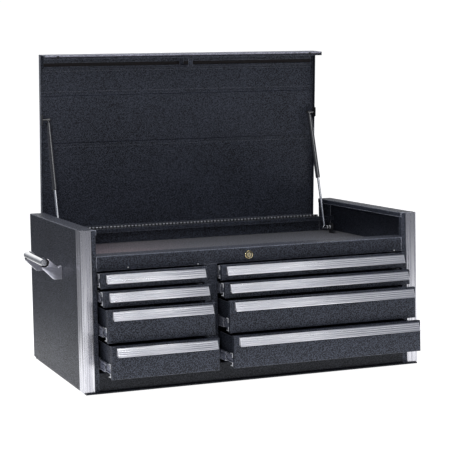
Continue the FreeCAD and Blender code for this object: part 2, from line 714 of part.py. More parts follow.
def chest_strut_bracket():
    """Angle riveted to the till's floor, with the stud for the left strut's lower eye."""
    y, z = STRUT_FOOT
    near = (y - BRACKET_HALF, y + BRACKET_HALF)
    top = z + BRACKET_RISE
    section = [
        (-BAY - BRACKET_FOOT, TILL_FLOOR_TOP),
        (-BAY + BRACKET_SHEET, TILL_FLOOR_TOP),
        (-BAY + BRACKET_SHEET, top),
    ]
    angle = folded(section, 1, "y", near[0], near[1], sheet=BRACKET_SHEET)
    face = extruded(
        [(near[0], TILL_FLOOR_TOP), (near[1], TILL_FLOOR_TOP), (near[1], top), (near[0], top)],
        "x", -BAY - BRACKET_FOOT, -BAY + BRACKET_SHEET, [0.0, 0.0, 5.0, 5.0])
    eye_near = -STRUT_X - EYE_WIDTH / 2.0
    eye_far = -STRUT_X + EYE_WIDTH / 2.0
    rivet_x = -BAY - BRACKET_FOOT / 2.0
    rivet_z = TILL_FLOOR_TOP + BRACKET_SHEET
    pieces = [
        rod((y, z), "x", -BAY + BRACKET_SHEET, eye_near - 0.3, STUD_RADIUS + 2.0),
        rod((y, z), "x", eye_near - 0.4, eye_far + 0.4, STUD_RADIUS),
        rod((y, z), "x", eye_far + 0.3, eye_far + 1.8, STUD_RADIUS + 2.0),
    ]
    pieces += [rod((rivet_x, y + step), "z", rivet_z - 0.2, rivet_z + 1.0, RIVET_RADIUS)
               for step in (-8.0, 8.0)]
    return angle.common(face).multiFuse(pieces).removeSplitter()


def lid_strut_bracket():
    """Plate on the lid's left side fold, drawn shut, that the cylinder's stud meets."""
    y, z = shut_head()
    low = z - EYE_RADIUS - 3.0
    inner = -LID_HALF + SHEET
    points = [(y - 16.0, low), (y + 16.0, low), (y + 16.0, LID_UNDERSIDE - STIFFENER_DROP - 2.0),
              (y - 16.0, LID_UNDERSIDE - STIFFENER_DROP - 2.0)]
    return extruded(points, "x", inner, inner + BRACKET_SHEET, [4.0, 4.0, 0.0, 0.0])


# ---------------------------------------------------------------- lock
def lock_housing():
    """Brass lock case: round face on the rail, threaded body and its nut behind."""
    inner_rail = RAIL_FRONT + SHEET
    face_front = RAIL_FRONT - LOCK_FACE
    profile = [
        (LOCK_BORE_RADIUS, face_front),
        (LOCK_FACE_RADIUS - 1.5, face_front),
        (LOCK_FACE_RADIUS, face_front + 1.5),
        (LOCK_FACE_RADIUS, RAIL_FRONT),
        (LOCK_BODY_RADIUS, RAIL_FRONT),
        (LOCK_BODY_RADIUS, inner_rail),
        (LOCK_NUT_RADIUS, inner_rail),
        (LOCK_NUT_RADIUS, inner_rail + LOCK_NUT),
        (LOCK_BODY_RADIUS, inner_rail + LOCK_NUT),
        (LOCK_BODY_RADIUS, LOCK_BODY_END),
        (LOCK_BORE_RADIUS, LOCK_BODY_END),
    ]
    return turned(profile, FreeCAD.Vector(LOCK_X, 0.0, LOCK_Z), "y")


def lock_plug():
    """Turning plug with its keyway, and a tail that carries the cam into the till."""
    face_front = RAIL_FRONT - LOCK_FACE
    plug = rod((LOCK_X, LOCK_Z), "y", face_front - 0.5, LOCK_BODY_END + 1.0, PLUG_RADIUS)
    tail = rod((LOCK_X, LOCK_Z), "y", LOCK_BODY_END, CAM_START + CAM_SHEET + 1.0, TAIL_RADIUS)
    keyway = block((LOCK_X - 0.8, LOCK_X + 0.8), (face_front - 1.0, face_front + 12.0),
                   (LOCK_Z - 3.5, LOCK_Z + 3.5))
    half = CAM_WIDTH / 2.0
    cam = extruded(
        [(LOCK_X - half, LOCK_Z), (LOCK_X + half, LOCK_Z),
         (LOCK_X + half, LOCK_Z + CAM_REACH), (LOCK_X - half, LOCK_Z + CAM_REACH)],
        "y", CAM_START, CAM_START + CAM_SHEET, [0.0, 0.0, 3.0, 3.0])
    return plug.cut(keyway).multiFuse([tail, cam]).removeSplitter()


# ---------------------------------------------------------------- side handles
def handle_bolt_places():
    """Y and Z of the bolts that hold one handle."""
    middle = sum(HANDLE_FOOT) / 2.0
    return [(HANDLE_MIDDLE + side * HANDLE_SPAN, middle + rise)
            for side in (-1, 1) for rise in (-9.0, 9.0)]


def handle_brackets():
    """Two left-hand brackets: an arm up from the side to a saddle round the grip's inner
    half, with a wider mouth round the grip's end."""
    low, high = HANDLE_FOOT
    axis = (-HALF_WIDTH - GRIP_OUT, GRIP_Z)
    arm = [
        (axis[0] + SADDLE_LOWER[0], axis[1] + SADDLE_LOWER[1]),
        (-SKIN - 25.0, low + 1.0),
        (-SKIN, low),
        (-SKIN, high),
        (-SKIN - 3.0, high),
        (-SKIN - 11.0, high - 3.4),
        (axis[0] + SADDLE_UPPER[0], axis[1] + SADDLE_UPPER[1]),
    ]
    rounds = [SADDLE_LIP, 5.0, 0.0, 0.0, 1.0, 3.0, SADDLE_LIP]
    brackets = []
    for side in (-1, 1):
        middle = HANDLE_MIDDLE + side * HANDLE_SPAN
        start = middle - HANDLE_BRACKET / 2.0
        end = middle + HANDLE_BRACKET / 2.0
        outer = middle + side * HANDLE_BRACKET / 2.0
        mouth = sorted((outer, outer - side * (GRIP_SHORT + 1.0)))
        solid = extruded(arm, "y", start, end, rounds)
        solid = solid.cut(rod(axis, "y", start, end, GRIP_RADIUS))
        solid = solid.cut(rod(axis, "y", mouth[0], mouth[1], GRIP_RADIUS + SADDLE_RECESS))
        brackets.append(solid.removeSplitter())
    return brackets


def handle_grip():
    """Chrome tube in both saddles, with plugged ends a little inside the brackets."""
    end = HANDLE_SPAN + HANDLE_BRACKET / 2.0 - GRIP_SHORT
    bore = GRIP_RADIUS - GRIP_WALL
    profile = [
        (0.0, -end),
        (GRIP_RADIUS - 2.0, -end),
        (GRIP_RADIUS, -end + 2.0),
        (GRIP_RADIUS, end - 2.0),
        (GRIP_RADIUS - 2.0, end),
        (0.0, end),
        (0.0, end - 3.0),
        (bore, end - 3.0),
        (bore, -end + 3.0),
        (0.0, -end + 3.0),
    ]
    return turned(profile, FreeCAD.Vector(-HALF_WIDTH - GRIP_OUT, HANDLE_MIDDLE, GRIP_Z), "y")


def handle_bolts():
    """Bolt shanks through the side with their nuts inside the hollow wall."""
    bolts = []
    for place in handle_bolt_places():
        shank = rod(place, "x", -SKIN, -SKIN + SHEET + 6.0, BOLT_RADIUS)
        nut = rod(place, "x", -SKIN + SHEET, -SKIN + SHEET + 4.0, 2.0 * BOLT_RADIUS)
        bolts.append(shank.fuse(nut).removeSplitter())
    return bolts


# ---------------------------------------------------------------- assembly
def write(name, pieces):
    """Writes one sub-part as a STEP file; several solids become a group."""
    shape = pieces if isinstance(pieces, Part.Shape) else Part.makeCompound(pieces)
    shape.exportStep("parts/" + name + ".step")


def case_parts():
    yield "side_panel_left", side_panel()
    yield "side_panel_right", mirrored(side_panel())
    yield "inner_wall_left", inner_wall()
    yield "inner_wall_right", mirrored(inner_wall())
    yield "corner_trim_left", corner_trim()
    yield "corner_trim_right", mirrored(corner_trim())
    yield "base_pan", base_pan()
    yield "back_panel", back_panel()
    yield "top_rail", top_rail()
    yield "bottom_rail", bottom_rail()
    yield "center_divider", center_divider()
    yield "till_floor", till_floor()
    yield "till_liner", till_liner()
    yield "hinge_leaf_chest", chest_leaf()
    yield "hinge_pin", hinge_pin()
    yield "strut_brackets_chest", both_sides(chest_strut_bracket())
    yield "lock_housing", lock_housing()
    yield "lock_plug", lock_plug()
    yield "handle_grip_left", handle_grip()
    yield "handle_grip_right", mirrored(handle_grip())
    yield "handle_brackets_left", handle_brackets()
    yield "handle_brackets_right", [mirrored(solid) for solid in handle_brackets()]
    yield "handle_bolts", [half for bolt in handle_bolts() for half in both_sides(bolt)]


def drawer_parts():
    for bank, pulled in (("left", PULLED_LEFT), ("right", PULLED_RIGHT)):
        rails = []
        for row, distance in enumerate(pulled):
            name = bank + "_" + str(row + 1)
            rails += slide_pair(OUTER_MEMBER, bank, row)
            out = FreeCAD.Vector(0.0, -distance, 0.0)
            tray = [drawer_tray(bank, row)] + slide_pair(INNER_MEMBER, bank, row, True)
            yield "drawer_" + name, [piece.translated(out) for piece in tray]
            yield "pull_" + name, drawer_pull(bank, row).translated(out)
            middle = slide_pair(MIDDLE_MEMBER, bank, row)
            yield "slide_" + name, [piece.translated(out * 0.5) for piece in middle]
        yield "slide_rails_" + bank, rails


def lid_parts():
    yield "lid_panel", opened(lid_panel())
    yield "lid_stiffener", opened(lid_stiffener())
    yield "lid_corner_band", opened(lid_corner_band())
    yield "hinge_leaf_lid", opened(lid_leaf())
    yield "lid_bumpers", [opened(pad) for pad in lid_bumpers()]
    yield "lock_strike", opened(lock_strike())
    yield "strut_brackets_lid", [opened(side) for side in both_sides(lid_strut_bracket())]
    yield "strut_rod_left", strut_rod()
    yield "strut_rod_right", mirrored(strut_rod())
    yield "strut_cylinder_left", strut_cylinder()
    yield "strut_cylinder_right", mirrored(strut_cylinder())


def main():
    os.makedirs("parts", exist_ok=True)
    for group in (case_parts(), drawer_parts(), lid_parts()):
        for name, pieces in group:
            write(name, pieces)


main()
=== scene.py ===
import logging
import math
from dataclasses import dataclass
from enum import Enum
from functools import lru_cache
from typing import Iterable, Sequence

import bmesh
import bpy
from mathutils import Matrix, Vector


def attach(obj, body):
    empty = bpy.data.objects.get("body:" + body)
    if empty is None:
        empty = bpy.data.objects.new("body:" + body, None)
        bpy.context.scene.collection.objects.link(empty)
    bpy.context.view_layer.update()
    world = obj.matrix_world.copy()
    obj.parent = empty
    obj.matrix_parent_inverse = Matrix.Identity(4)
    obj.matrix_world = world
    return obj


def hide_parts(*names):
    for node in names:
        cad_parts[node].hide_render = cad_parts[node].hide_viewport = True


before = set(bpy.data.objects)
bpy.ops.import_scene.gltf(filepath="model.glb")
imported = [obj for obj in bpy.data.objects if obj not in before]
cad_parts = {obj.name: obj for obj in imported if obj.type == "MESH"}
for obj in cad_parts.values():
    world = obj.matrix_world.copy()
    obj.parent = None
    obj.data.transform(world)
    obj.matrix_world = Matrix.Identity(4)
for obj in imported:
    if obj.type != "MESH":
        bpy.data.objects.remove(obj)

LOG = logging.getLogger("tool_chest")
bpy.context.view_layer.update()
MM = 0.001
SMOOTH_BELOW = math.radians(34.0)      # edges flatter than this are shaded smooth
FOLD_FROM = 0.3                        # radians, the least turn that counts as a fold
LID_AXIS = (306.0, 404.7)              # Y and Z of the lid's hinge
LID_OPEN = 86.0                        # degrees that the lid stands open
FRONT = -303.0                         # front face of the rails and of a shut drawer
SLIDE_RISE = 22.0                      # middle of a slide above its drawer's lower edge
SLIDE_LENGTH = 508.0
WHITE = (1.0, 1.0, 1.0)
PREFIX = "ShaderNode"                  # what the types of all nodes begin with

Pair = tuple[float, float]
Colour = tuple[float, float, float]
Place = tuple[float, float, float]
Socket = bpy.types.NodeSocket


class Axis(Enum):
    """A direction of the chest: across it, into it, or up."""

    X = 0
    Y = 1
    Z = 2

    def point(self, across: Pair, along: float) -> Vector:
        """A point from its two coordinates across the axis and its place along it."""
        values = list(across)
        values.insert(self.value, along)
        return Vector(values)

    def run(self, length: float) -> Vector:
        """A step of the given length along the axis."""
        return self.point((0.0, 0.0), length)


class Worded(Enum):
    """Choices whose names are words in the names of nodes and pieces."""

    @property
    def word(self) -> str:
        """The choice's word in a name."""
        return self.name.lower()


class Side(Worded):
    """A side of the chest, with the sign of its X."""

    LEFT = -1
    RIGHT = 1


class Bank(Worded):
    """A bank of drawers: the limits of its bay in X and how far its drawers stand open."""

    LEFT = ((-477.2, -157.5), (34.0, 60.0, 92.0, 123.0))
    RIGHT = ((-117.5, 477.2), (30.0, 56.0, 91.0, 120.0))

    @property
    def bay(self) -> Pair:
        """Left and right wall of the bay."""
        return self.value[0]

    @property
    def walls(self) -> Iterable[tuple[float, int]]:
        """Each wall of the bay with the sign of the way into the bay."""
        return zip(self.bay, (1, -1))

    def pulled(self, row: int) -> float:
        """How far the drawer in a row stands open."""
        return self.value[1][row - 1]

    def drawer(self, row: int) -> str:
        """The words for the drawer in a row."""
        return f"{self.word}_{row}"


# ------------------------------------------------------------------ node materials
class NodeTree:
    """A node tree under construction."""

    def __init__(self, tree: bpy.types.NodeTree) -> None:
        """Takes the tree that the nodes go to."""
        self.tree = tree

    def feed(self, node: bpy.types.Node, inputs: dict[str | int, object]) -> None:
        """Sets a node's inputs to values or links sockets to them."""
        for key, value in inputs.items():
            if isinstance(value, Socket):
                self.tree.links.new(value, node.inputs[key])
            else:
                node.inputs[key].default_value = value

    def node(self, kind: str, inputs: dict[str | int, object],
             **settings: object) -> bpy.types.Node:
        """Adds a node.

        Args:
            kind: The node's type, without its prefix.
            inputs: Values or sockets for its inputs.
            **settings: Its own properties.

        Returns:
            The new node.
        """
        node = self.tree.nodes.new(PREFIX + kind)
        for key, value in settings.items():
            setattr(node, key, value)
        self.feed(node, inputs)
        return node

    def spread(self, value: Socket, source: Pair, target: Pair = (0.0, 1.0)) -> Socket:
        """Maps one range of a value to another and clamps it there."""
        inputs = {0: value, 1: source[0], 2: source[1], 3: target[0], 4: target[1]}
        return self.node("MapRange", inputs).outputs[0]

    def maths(self, kind: str, first: object, second: object) -> Socket:
        """Joins two values by an operation of the Math node."""
        return self.node("Math", {0: first, 1: second}, operation=kind).outputs[0]

    def weighed(self, first: Socket, share: float, second: Socket) -> Socket:
        """Adds a share of one value to the rest of another."""
        return self.maths("ADD", self.maths("MULTIPLY", first, share),
                          self.maths("MULTIPLY", second, 1.0 - share))

    def mixed(self, share: Socket, first: object, second: object) -> Socket:
        """Mixes two colours by a share from 0 to 1."""
        colours = [(*c, 1.0) if isinstance(c, tuple) else c for c in (first, second)]
        inputs = {0: share, 6: colours[0], 7: colours[1]}
        return self.node("Mix", inputs, data_type="RGBA").outputs[2]


class Sketch(NodeTree):
    """A node material under construction. Its patterns lie in Object coordinates, in metres."""

    def __init__(self, name: str, colour: Colour, metallic: float, roughness: float) -> None:
        """Starts a material from its plain values.

        Args:
            name: The material's name.
            colour: Plain base colour.
            metallic: 1 for bare metal, 0 for paint and rubber.
            roughness: Plain roughness.
        """
        self.material = bpy.data.materials.new(name)
        self.material.use_nodes = True
        self.material.diffuse_color = (*colour, 1.0)
        super().__init__(self.material.node_tree)
        self.shader = self.tree.nodes["Principled BSDF"]
        self.place = self.tree.nodes.new(PREFIX + "TexCoord").outputs["Object"]
        self.set(("Base Color", (*colour, 1.0)), ("Metallic", metallic), ("Roughness", roughness))

    def set(self, *values: tuple[str, object]) -> None:
        """Sets or feeds inputs of the shader, each by its name."""
        self.feed(self.shader, dict(values))

    def mapped(self, **change: Place) -> Socket:
        """Object coordinates with a Scale or a Rotation."""
        return self.node("Mapping", {"Vector": self.place, **change}).outputs[0]

    def noise(self, scale: float, detail: float = 3.0, place: Socket | None = None,
              rough: float = 0.5) -> Socket:
        """Cloudy noise from 0 to 1.

        Args:
            scale: Waves for each metre.
            detail: Octaves of finer noise.
            place: Coordinates, or None for plain Object coordinates.
            rough: Strength of the finer octaves.

        Returns:
            The noise's value.
        """
        inputs = {"Vector": place or self.place, "Scale": scale, "Detail": detail,
                  "Roughness": rough}
        return self.node("TexNoise", inputs).outputs[0]

    def cells(self, scale: float, smooth: float = 0.6) -> Socket:
        """Rounded cells: the distance from the middle of the nearest one."""
        inputs = {"Vector": self.place, "Scale": scale, "Smoothness": smooth}
        return self.node("TexVoronoi", inputs, feature="SMOOTH_F1").outputs[0]

    def edges(self, radius: float) -> Socket:
        """From 0 on flat faces to 1 on the sharp edges of a sheet, over a radius in metres."""
        eased = self.node("Bevel", {"Radius": radius}, samples=4).outputs[0]
        flat = self.node("NewGeometry", {}).outputs["Normal"]
        dot = self.node("VectorMath", {0: eased, 1: flat}, operation="DOT_PRODUCT")
        return self.spread(dot.outputs["Value"], (0.995, 0.85))

    def gloss(self, value: Socket, rough: Pair) -> None:
        """Feeds the roughness: its first value where the pattern is 0, its second where 1."""
        self.set(("Roughness", self.spread(value, (0.0, 1.0), rough)))

    def relief(self, height: Socket, distance: float, strength: float = 1.0) -> None:
        """Adds a bump of the given depth in metres under any bump already there."""
        inputs = {"Height": height, "Distance": distance, "Strength": strength}
        normal = self.shader.inputs["Normal"]
        if normal.is_linked:
            inputs["Normal"] = normal.links[0].from_socket
        self.tree.links.new(self.node("Bump", inputs).outputs[0], normal)


class Finish:
    """What pieces and nodes wear: one material, drawn when it is first asked for."""

    @lru_cache(maxsize=None)
    def material(self) -> bpy.types.Material:
        """The finished material, always the same one."""
        return self.drawn().material

    def drawn(self) -> Sketch:
        """Draws the material's nodes.

        Returns:
            The finished sketch.
        """
        raise NotImplementedError


@dataclass(frozen=True)
class WrinklePaint(Finish):
    """Charcoal wrinkle enamel: tight ripples, a fine pepper of tone and bright edges, partly rubbed
    by use and partly painted highlight.
    """

    name: str = "wrinkle_paint"
    dark: Colour = (0.002, 0.003, 0.005)
    light: Colour = (0.084, 0.095, 0.132)
    edge: Colour = (0.30, 0.32, 0.38)
    ripple: float = 620.0
    pepper: float = 350.0
    wear: float = 0.0016
    sheen: float = 0.0
    grain_turn: Place = (0.62, 0.41, 0.23)
    grain_band: Pair = (0.46, 0.56)
    grain_share: float = 0.72
    sheen_tint: Colour = (0.85, 0.88, 1.0)

    def drawn(self) -> Sketch:
        """Draws the pepper of tone, the bright edges (rubbed by use and painted highlight) and the
        ripples.
        """
        sketch = Sketch(self.name, self.dark, 0.0, 0.5)
        turned = sketch.mapped(Rotation=self.grain_turn)
        pepper = sketch.spread(sketch.noise(self.pepper, 1.0, turned, 0.8), self.grain_band)
        cloud = sketch.spread(sketch.noise(5.0, 3.0), (0.3, 0.7), (0.0, 0.14))
        tone = sketch.maths("ADD", sketch.maths("MULTIPLY", pepper, self.grain_share), cloud)
        paint = sketch.mixed(tone, self.dark, self.light)
        # Edges turn towards the edge colour: partly rubbed by use, partly painted highlight of
        # folds catching the light.
        chips = sketch.spread(sketch.noise(90.0, 4.0), (0.35, 0.6), (0.35, 1.0))
        bright_edges = sketch.maths("MULTIPLY", sketch.edges(self.wear), chips)
        sketch.gloss(pepper, (0.62, 0.40))
        sketch.relief(sketch.cells(self.ripple, 0.8), 0.00035, 0.55)
        sketch.relief(sketch.noise(430.0, 2.0), 0.0005, 0.25)
        sketch.set(("Base Color", sketch.mixed(bright_edges, paint, self.edge)),
                   ("Specular IOR Level", 0.32), ("Sheen Weight", self.sheen),
                   ("Sheen Roughness", 0.22), ("Sheen Tint", (*self.sheen_tint, 1.0)))
        return sketch


@dataclass(frozen=True)
class BrushedMetal(Finish):
    """Bare metal brushed along one axis, with fine streaks and a few long scratches."""

    name: str
    grain: Axis
    dark: Colour
    light: Colour
    rough: Pair = (0.24, 0.42)
    fineness: float = 950.0
    rim: float = 0.0006
    bright: Colour = (0.92, 0.92, 0.93)
    stretch: float = 0.012

    def drawn(self) -> Sketch:
        """Draws the streaks along the grain and the bright rims, which are painted highlight."""
        sketch = Sketch(self.name, self.light, 1.0, sum(self.rough) / 2.0)
        scale = [1.0, 1.0, 1.0]
        scale[self.grain.value] = self.stretch
        along = sketch.mapped(Scale=tuple(scale))
        streak = sketch.spread(sketch.noise(self.fineness, 3.0, along, 0.65), (0.36, 0.64))
        broad = sketch.spread(sketch.noise(self.fineness / 9.0, 2.0, along), (0.35, 0.65))
        tone = sketch.weighed(streak, 0.6, broad)
        # Rims lighten towards the bright colour: painted highlight.
        bright_edges = sketch.maths("MULTIPLY", sketch.edges(self.rim), 0.7)
        face = sketch.mixed(tone, self.dark, self.light)
        sketch.set(("Base Color", sketch.mixed(bright_edges, face, self.bright)))
        sketch.gloss(tone, (self.rough[1], self.rough[0]))
        sketch.relief(streak, 0.00004, 0.5)
        return sketch


@dataclass(frozen=True)
class ZincPlate(Finish):
    """Zinc-plated steel: a cloudy crystal bloom with a faint blue cast."""

    name: str = "zinc_plate"
    cool: Colour = (0.62, 0.67, 0.78)
    warm: Colour = (0.84, 0.86, 0.90)
    bright: Colour = (0.96, 0.97, 1.0)
    metallic: float = 0.55
    rim: float = 0.0008

    def drawn(self) -> Sketch:
        """Draws the bloom, its cast and the bright rims, which are painted highlight."""
        sketch = Sketch(self.name, self.cool, self.metallic, 0.3)
        bloom = sketch.spread(sketch.cells(160.0), (0.1, 0.7))
        cast = sketch.spread(sketch.noise(28.0, 3.0), (0.35, 0.65))
        face = sketch.mixed(sketch.weighed(bloom, 0.4, cast), self.cool, self.warm)
        # The rims lighten towards the bright colour: painted highlight.
        sketch.set(("Base Color", sketch.mixed(sketch.edges(self.rim), face, self.bright)))
        sketch.gloss(bloom, (0.24, 0.42))
        sketch.relief(bloom, 0.00003, 0.4)
        return sketch


@dataclass(frozen=True)
class Plated(Finish):
    """Smooth plated or cast metal with faint smears and pits."""

    name: str
    colour: Colour
    smear: Colour
    rough: Pair
    pits: float = 0.0
    rim: float = 0.0
    bright: Colour = (0.95, 0.95, 0.97)

    def drawn(self) -> Sketch:
        """Draws the smears, the bright rims, which are painted highlight, and the pits."""
        sketch = Sketch(self.name, self.colour, 1.0, self.rough[0])
        smear = sketch.spread(sketch.noise(45.0, 5.0), (0.42, 0.7))
        face = sketch.mixed(smear, self.colour, self.smear)
        # Rims lightened towards the bright colour: painted highlight.
        if self.rim > 0.0:
            face = sketch.mixed(sketch.edges(self.rim), face, self.bright)
        sketch.set(("Base Color", face))
        sketch.gloss(smear, self.rough)
        if self.pits > 0.0:
            sketch.relief(sketch.noise(900.0, 3.0), self.pits, 0.6)
        return sketch


@dataclass(frozen=True)
class GlossCoat(Finish):
    """Smooth black enamel on the struts' cylinders, with fine dust and rub marks."""

    name: str = "gloss_black"
    colour: Colour = (0.008, 0.008, 0.010)
    dust: Colour = (0.05, 0.05, 0.055)

    def drawn(self) -> Sketch:
        """Draws the dust and the rub marks."""
        sketch = Sketch(self.name, self.colour, 0.0, 0.18)
        dust = sketch.spread(sketch.noise(320.0, 4.0), (0.55, 0.75))
        rubs = sketch.noise(700.0, 2.0, sketch.mapped(Scale=(1.0, 1.0, 0.05)))
        sketch.set(("Base Color", sketch.mixed(dust, self.colour, self.dust)),
                   ("Roughness", sketch.spread(rubs, (0.4, 0.7), (0.14, 0.32))),
                   ("IOR", 1.9), ("Coat Weight", 1.0), ("Coat IOR", 1.8))
        return sketch


@dataclass(frozen=True)
class TillMat(Finish):
    """Speckled till mat: short fibres in grey, plum and near black."""

    name: str = "till_mat"
    ground: Colour = (0.022, 0.019, 0.024)
    plum: Colour = (0.25, 0.165, 0.195)
    slate: Colour = (0.095, 0.104, 0.140)
    shade: Colour = (0.010, 0.010, 0.013)
    fade: Pair = (-0.20, 0.30)

    def drawn(self) -> Sketch:
        """Draws the fibres, which turn from plum on the left to a darker slate on the right:
        painted shade across the till.
        """
        sketch = Sketch(self.name, self.ground, 0.0, 0.85)
        fibre = sketch.noise(320.0, 2.0, sketch.mapped(Scale=(1.0, 0.3, 1.0)), 0.8)
        light = sketch.spread(fibre, (0.46, 0.58))
        dark = sketch.spread(sketch.noise(260.0, 3.0), (0.52, 0.68))
        base = sketch.mixed(dark, self.ground, self.shade)
        # Fibres turn from plum to darker slate towards +X: painted shade across the till.
        across = sketch.node("SeparateXYZ", {0: sketch.place}).outputs["X"]
        shaded_across = sketch.maths("ADD", across, sketch.maths("MULTIPLY", sketch.noise(9.0), 0.5))
        fleck = sketch.mixed(sketch.spread(shaded_across, self.fade), self.plum, self.slate)
        sketch.set(("Base Color", sketch.mixed(light, base, fleck)), ("Sheen Weight", 0.25),
                   ("Roughness", sketch.spread(fibre, (0.3, 0.7), (0.95, 0.72))))
        sketch.relief(fibre, 0.0006, 0.8)
        return sketch


@dataclass(frozen=True)
class Rubber(Finish):
    """Matt rubber or nylon with a dusty bloom."""

    name: str = "rubber"
    colour: Colour = (0.012, 0.012, 0.013)
    bloom: Colour = (0.045, 0.044, 0.042)

    def drawn(self) -> Sketch:
        """Draws the bloom."""
        sketch = Sketch(self.name, self.colour, 0.0, 0.8)
        bloom = sketch.spread(sketch.noise(120.0, 4.0), (0.45, 0.75))
        sketch.set(("Base Color", sketch.mixed(bloom, self.colour, self.bloom)))
        sketch.gloss(bloom, (0.7, 0.9))
        sketch.relief(sketch.noise(1500.0, 2.0), 0.00008, 0.5)
        return sketch


@dataclass(frozen=True)
class StudioFloor(Finish):
    """Pale matt studio floor, lit from within round the chest, dim far in front and to its left."""

    name: str = "studio_floor"
    light: Colour = (0.32, 0.32, 0.32)
    dull: Colour = (0.29, 0.29, 0.293)
    far_glow: float = 0.05
    left_glow: float = 0.04
    front_fade: Pair = (-3.2, -1.1)
    left_fade: Pair = (-1.0, -0.72)
    lean: float = 0.209

    def drawn(self) -> Sketch:
        """Draws the floor and the glow that fades to the front and the left."""
        sketch = Sketch(self.name, self.light, 0.0, 0.9)
        place = sketch.node("SeparateXYZ", {0: sketch.place}).outputs
        front = sketch.spread(place["Y"], self.front_fade, (self.far_glow, 1.0))
        across = sketch.maths("SUBTRACT", place["X"],
                              sketch.maths("MULTIPLY", place["Y"], self.lean))
        left = sketch.spread(across, self.left_fade, (self.left_glow, 1.0))
        sketch.set(("Base Color", sketch.mixed(sketch.noise(1.5, 3.0), self.light, self.dull)),
                   ("Emission Color", (*WHITE, 1.0)),
                   ("Emission Strength", sketch.maths("MULTIPLY", front, left)))
        return sketch


PAINT = WrinklePaint()
TRIM = BrushedMetal("trim_brushed", Axis.Z, (0.46, 0.46, 0.52), (0.84, 0.84, 0.88),
                    (0.15, 0.28), rim=0.0012)
PULL = BrushedMetal("pull_brushed", Axis.X, (0.60, 0.605, 0.66), (0.98, 0.98, 1.0),
                    (0.26, 0.44), rim=0.0013)
HINGE = BrushedMetal("hinge_steel", Axis.X, (0.06, 0.062, 0.07), (0.14, 0.145, 0.16), (0.2, 0.38),
                     rim=0.0008)
# Bright metal for the chest's knuckles: painted highlight; the lid's knuckles wear near-black zinc
# as painted shade.
KNUCKLE = BrushedMetal("hinge_knuckle", Axis.X, (0.40, 0.41, 0.45), (0.80, 0.81, 0.85),
                       (0.22, 0.40))
ZINC = ZincPlate()
NICKEL = Plated("nickel", (0.93, 0.93, 0.94), (0.80, 0.80, 0.83), (0.34, 0.50))
CHROME = Plated("chrome", (0.86, 0.87, 0.89), (0.74, 0.75, 0.78), (0.05, 0.14))
BRASS = Plated("brass", (0.90, 0.76, 0.42), (0.34, 0.25, 0.09), (0.12, 0.26), 0.00003, 0.0010)
CASTING = Plated("satin_casting", (0.60, 0.60, 0.68), (0.42, 0.42, 0.49), (0.30, 0.46), 0.00012,
                 0.0024)
BLACK_ZINC = ZincPlate("black_zinc", (0.030, 0.031, 0.036), (0.062, 0.060, 0.058),
                       (0.12, 0.12, 0.13))
# A darker copy of the zinc for the slides: painted shade of their webs; the bright rims are painted
# highlight on their lips.
SLIDE = ZincPlate("slide_steel", (0.14, 0.155, 0.23), (0.34, 0.355, 0.45), (0.98, 0.99, 1.0),
                  0.35, 0.0012)
BLACK = GlossCoat()
MAT = TillMat()
# Matt black for the lid's bumpers, and for dark pieces in the lock that are painted shade.
RUBBER_AND_SHADE = Rubber()
# Near-black for the lid's sealing strip and for strips that are painted shadow in gaps and behind
# the lid's hem.
SEAL_AND_SHADE = Rubber("seal", (0.005, 0.003, 0.004), (0.014, 0.009, 0.011))
# Pale for the strut collars and for the slides' end tabs, whose paleness is painted highlight.
NYLON_AND_HIGHLIGHT = Rubber("nylon", (0.80, 0.82, 0.86), (0.92, 0.93, 0.95))
# A darker copy of the paint for the side panels and top rail, painted shade; its pale edges are
# painted highlight along the wall tops.
RIM_PAINT = WrinklePaint("wrinkle_paint_rim", light=(0.072, 0.081, 0.114),
                         edge=(0.74, 0.77, 0.90), wear=0.0028)
# Pale paint for the lid's hem: painted highlight.
HEM_HIGHLIGHT_PAINT = WrinklePaint("wrinkle_paint_hem", (0.20, 0.20, 0.26), (0.72, 0.72, 0.84))
# Pale paint for the ledge's front strip: painted highlight.
LEDGE_HIGHLIGHT_PAINT = WrinklePaint("wrinkle_paint_ledge", (0.05, 0.055, 0.07), (0.22, 0.24, 0.32))
LID_PAINT = WrinklePaint("wrinkle_paint_lid", sheen=0.5)
# A darker copy of the paint for the bottom rail and base: painted shade under the open drawers.
SHADE_PAINT = WrinklePaint("wrinkle_paint_low", light=(0.030, 0.034, 0.046), edge=(0.16, 0.17, 0.20))

def dress(finish: Finish, *nodes: str) -> None:
    """Gives carried-over CAD nodes their finish.

    Args:
        finish: The finish they wear.
        *nodes: The nodes' names.
    """
    for name in nodes:
        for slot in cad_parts[name].material_slots:
            slot.material = finish.material()


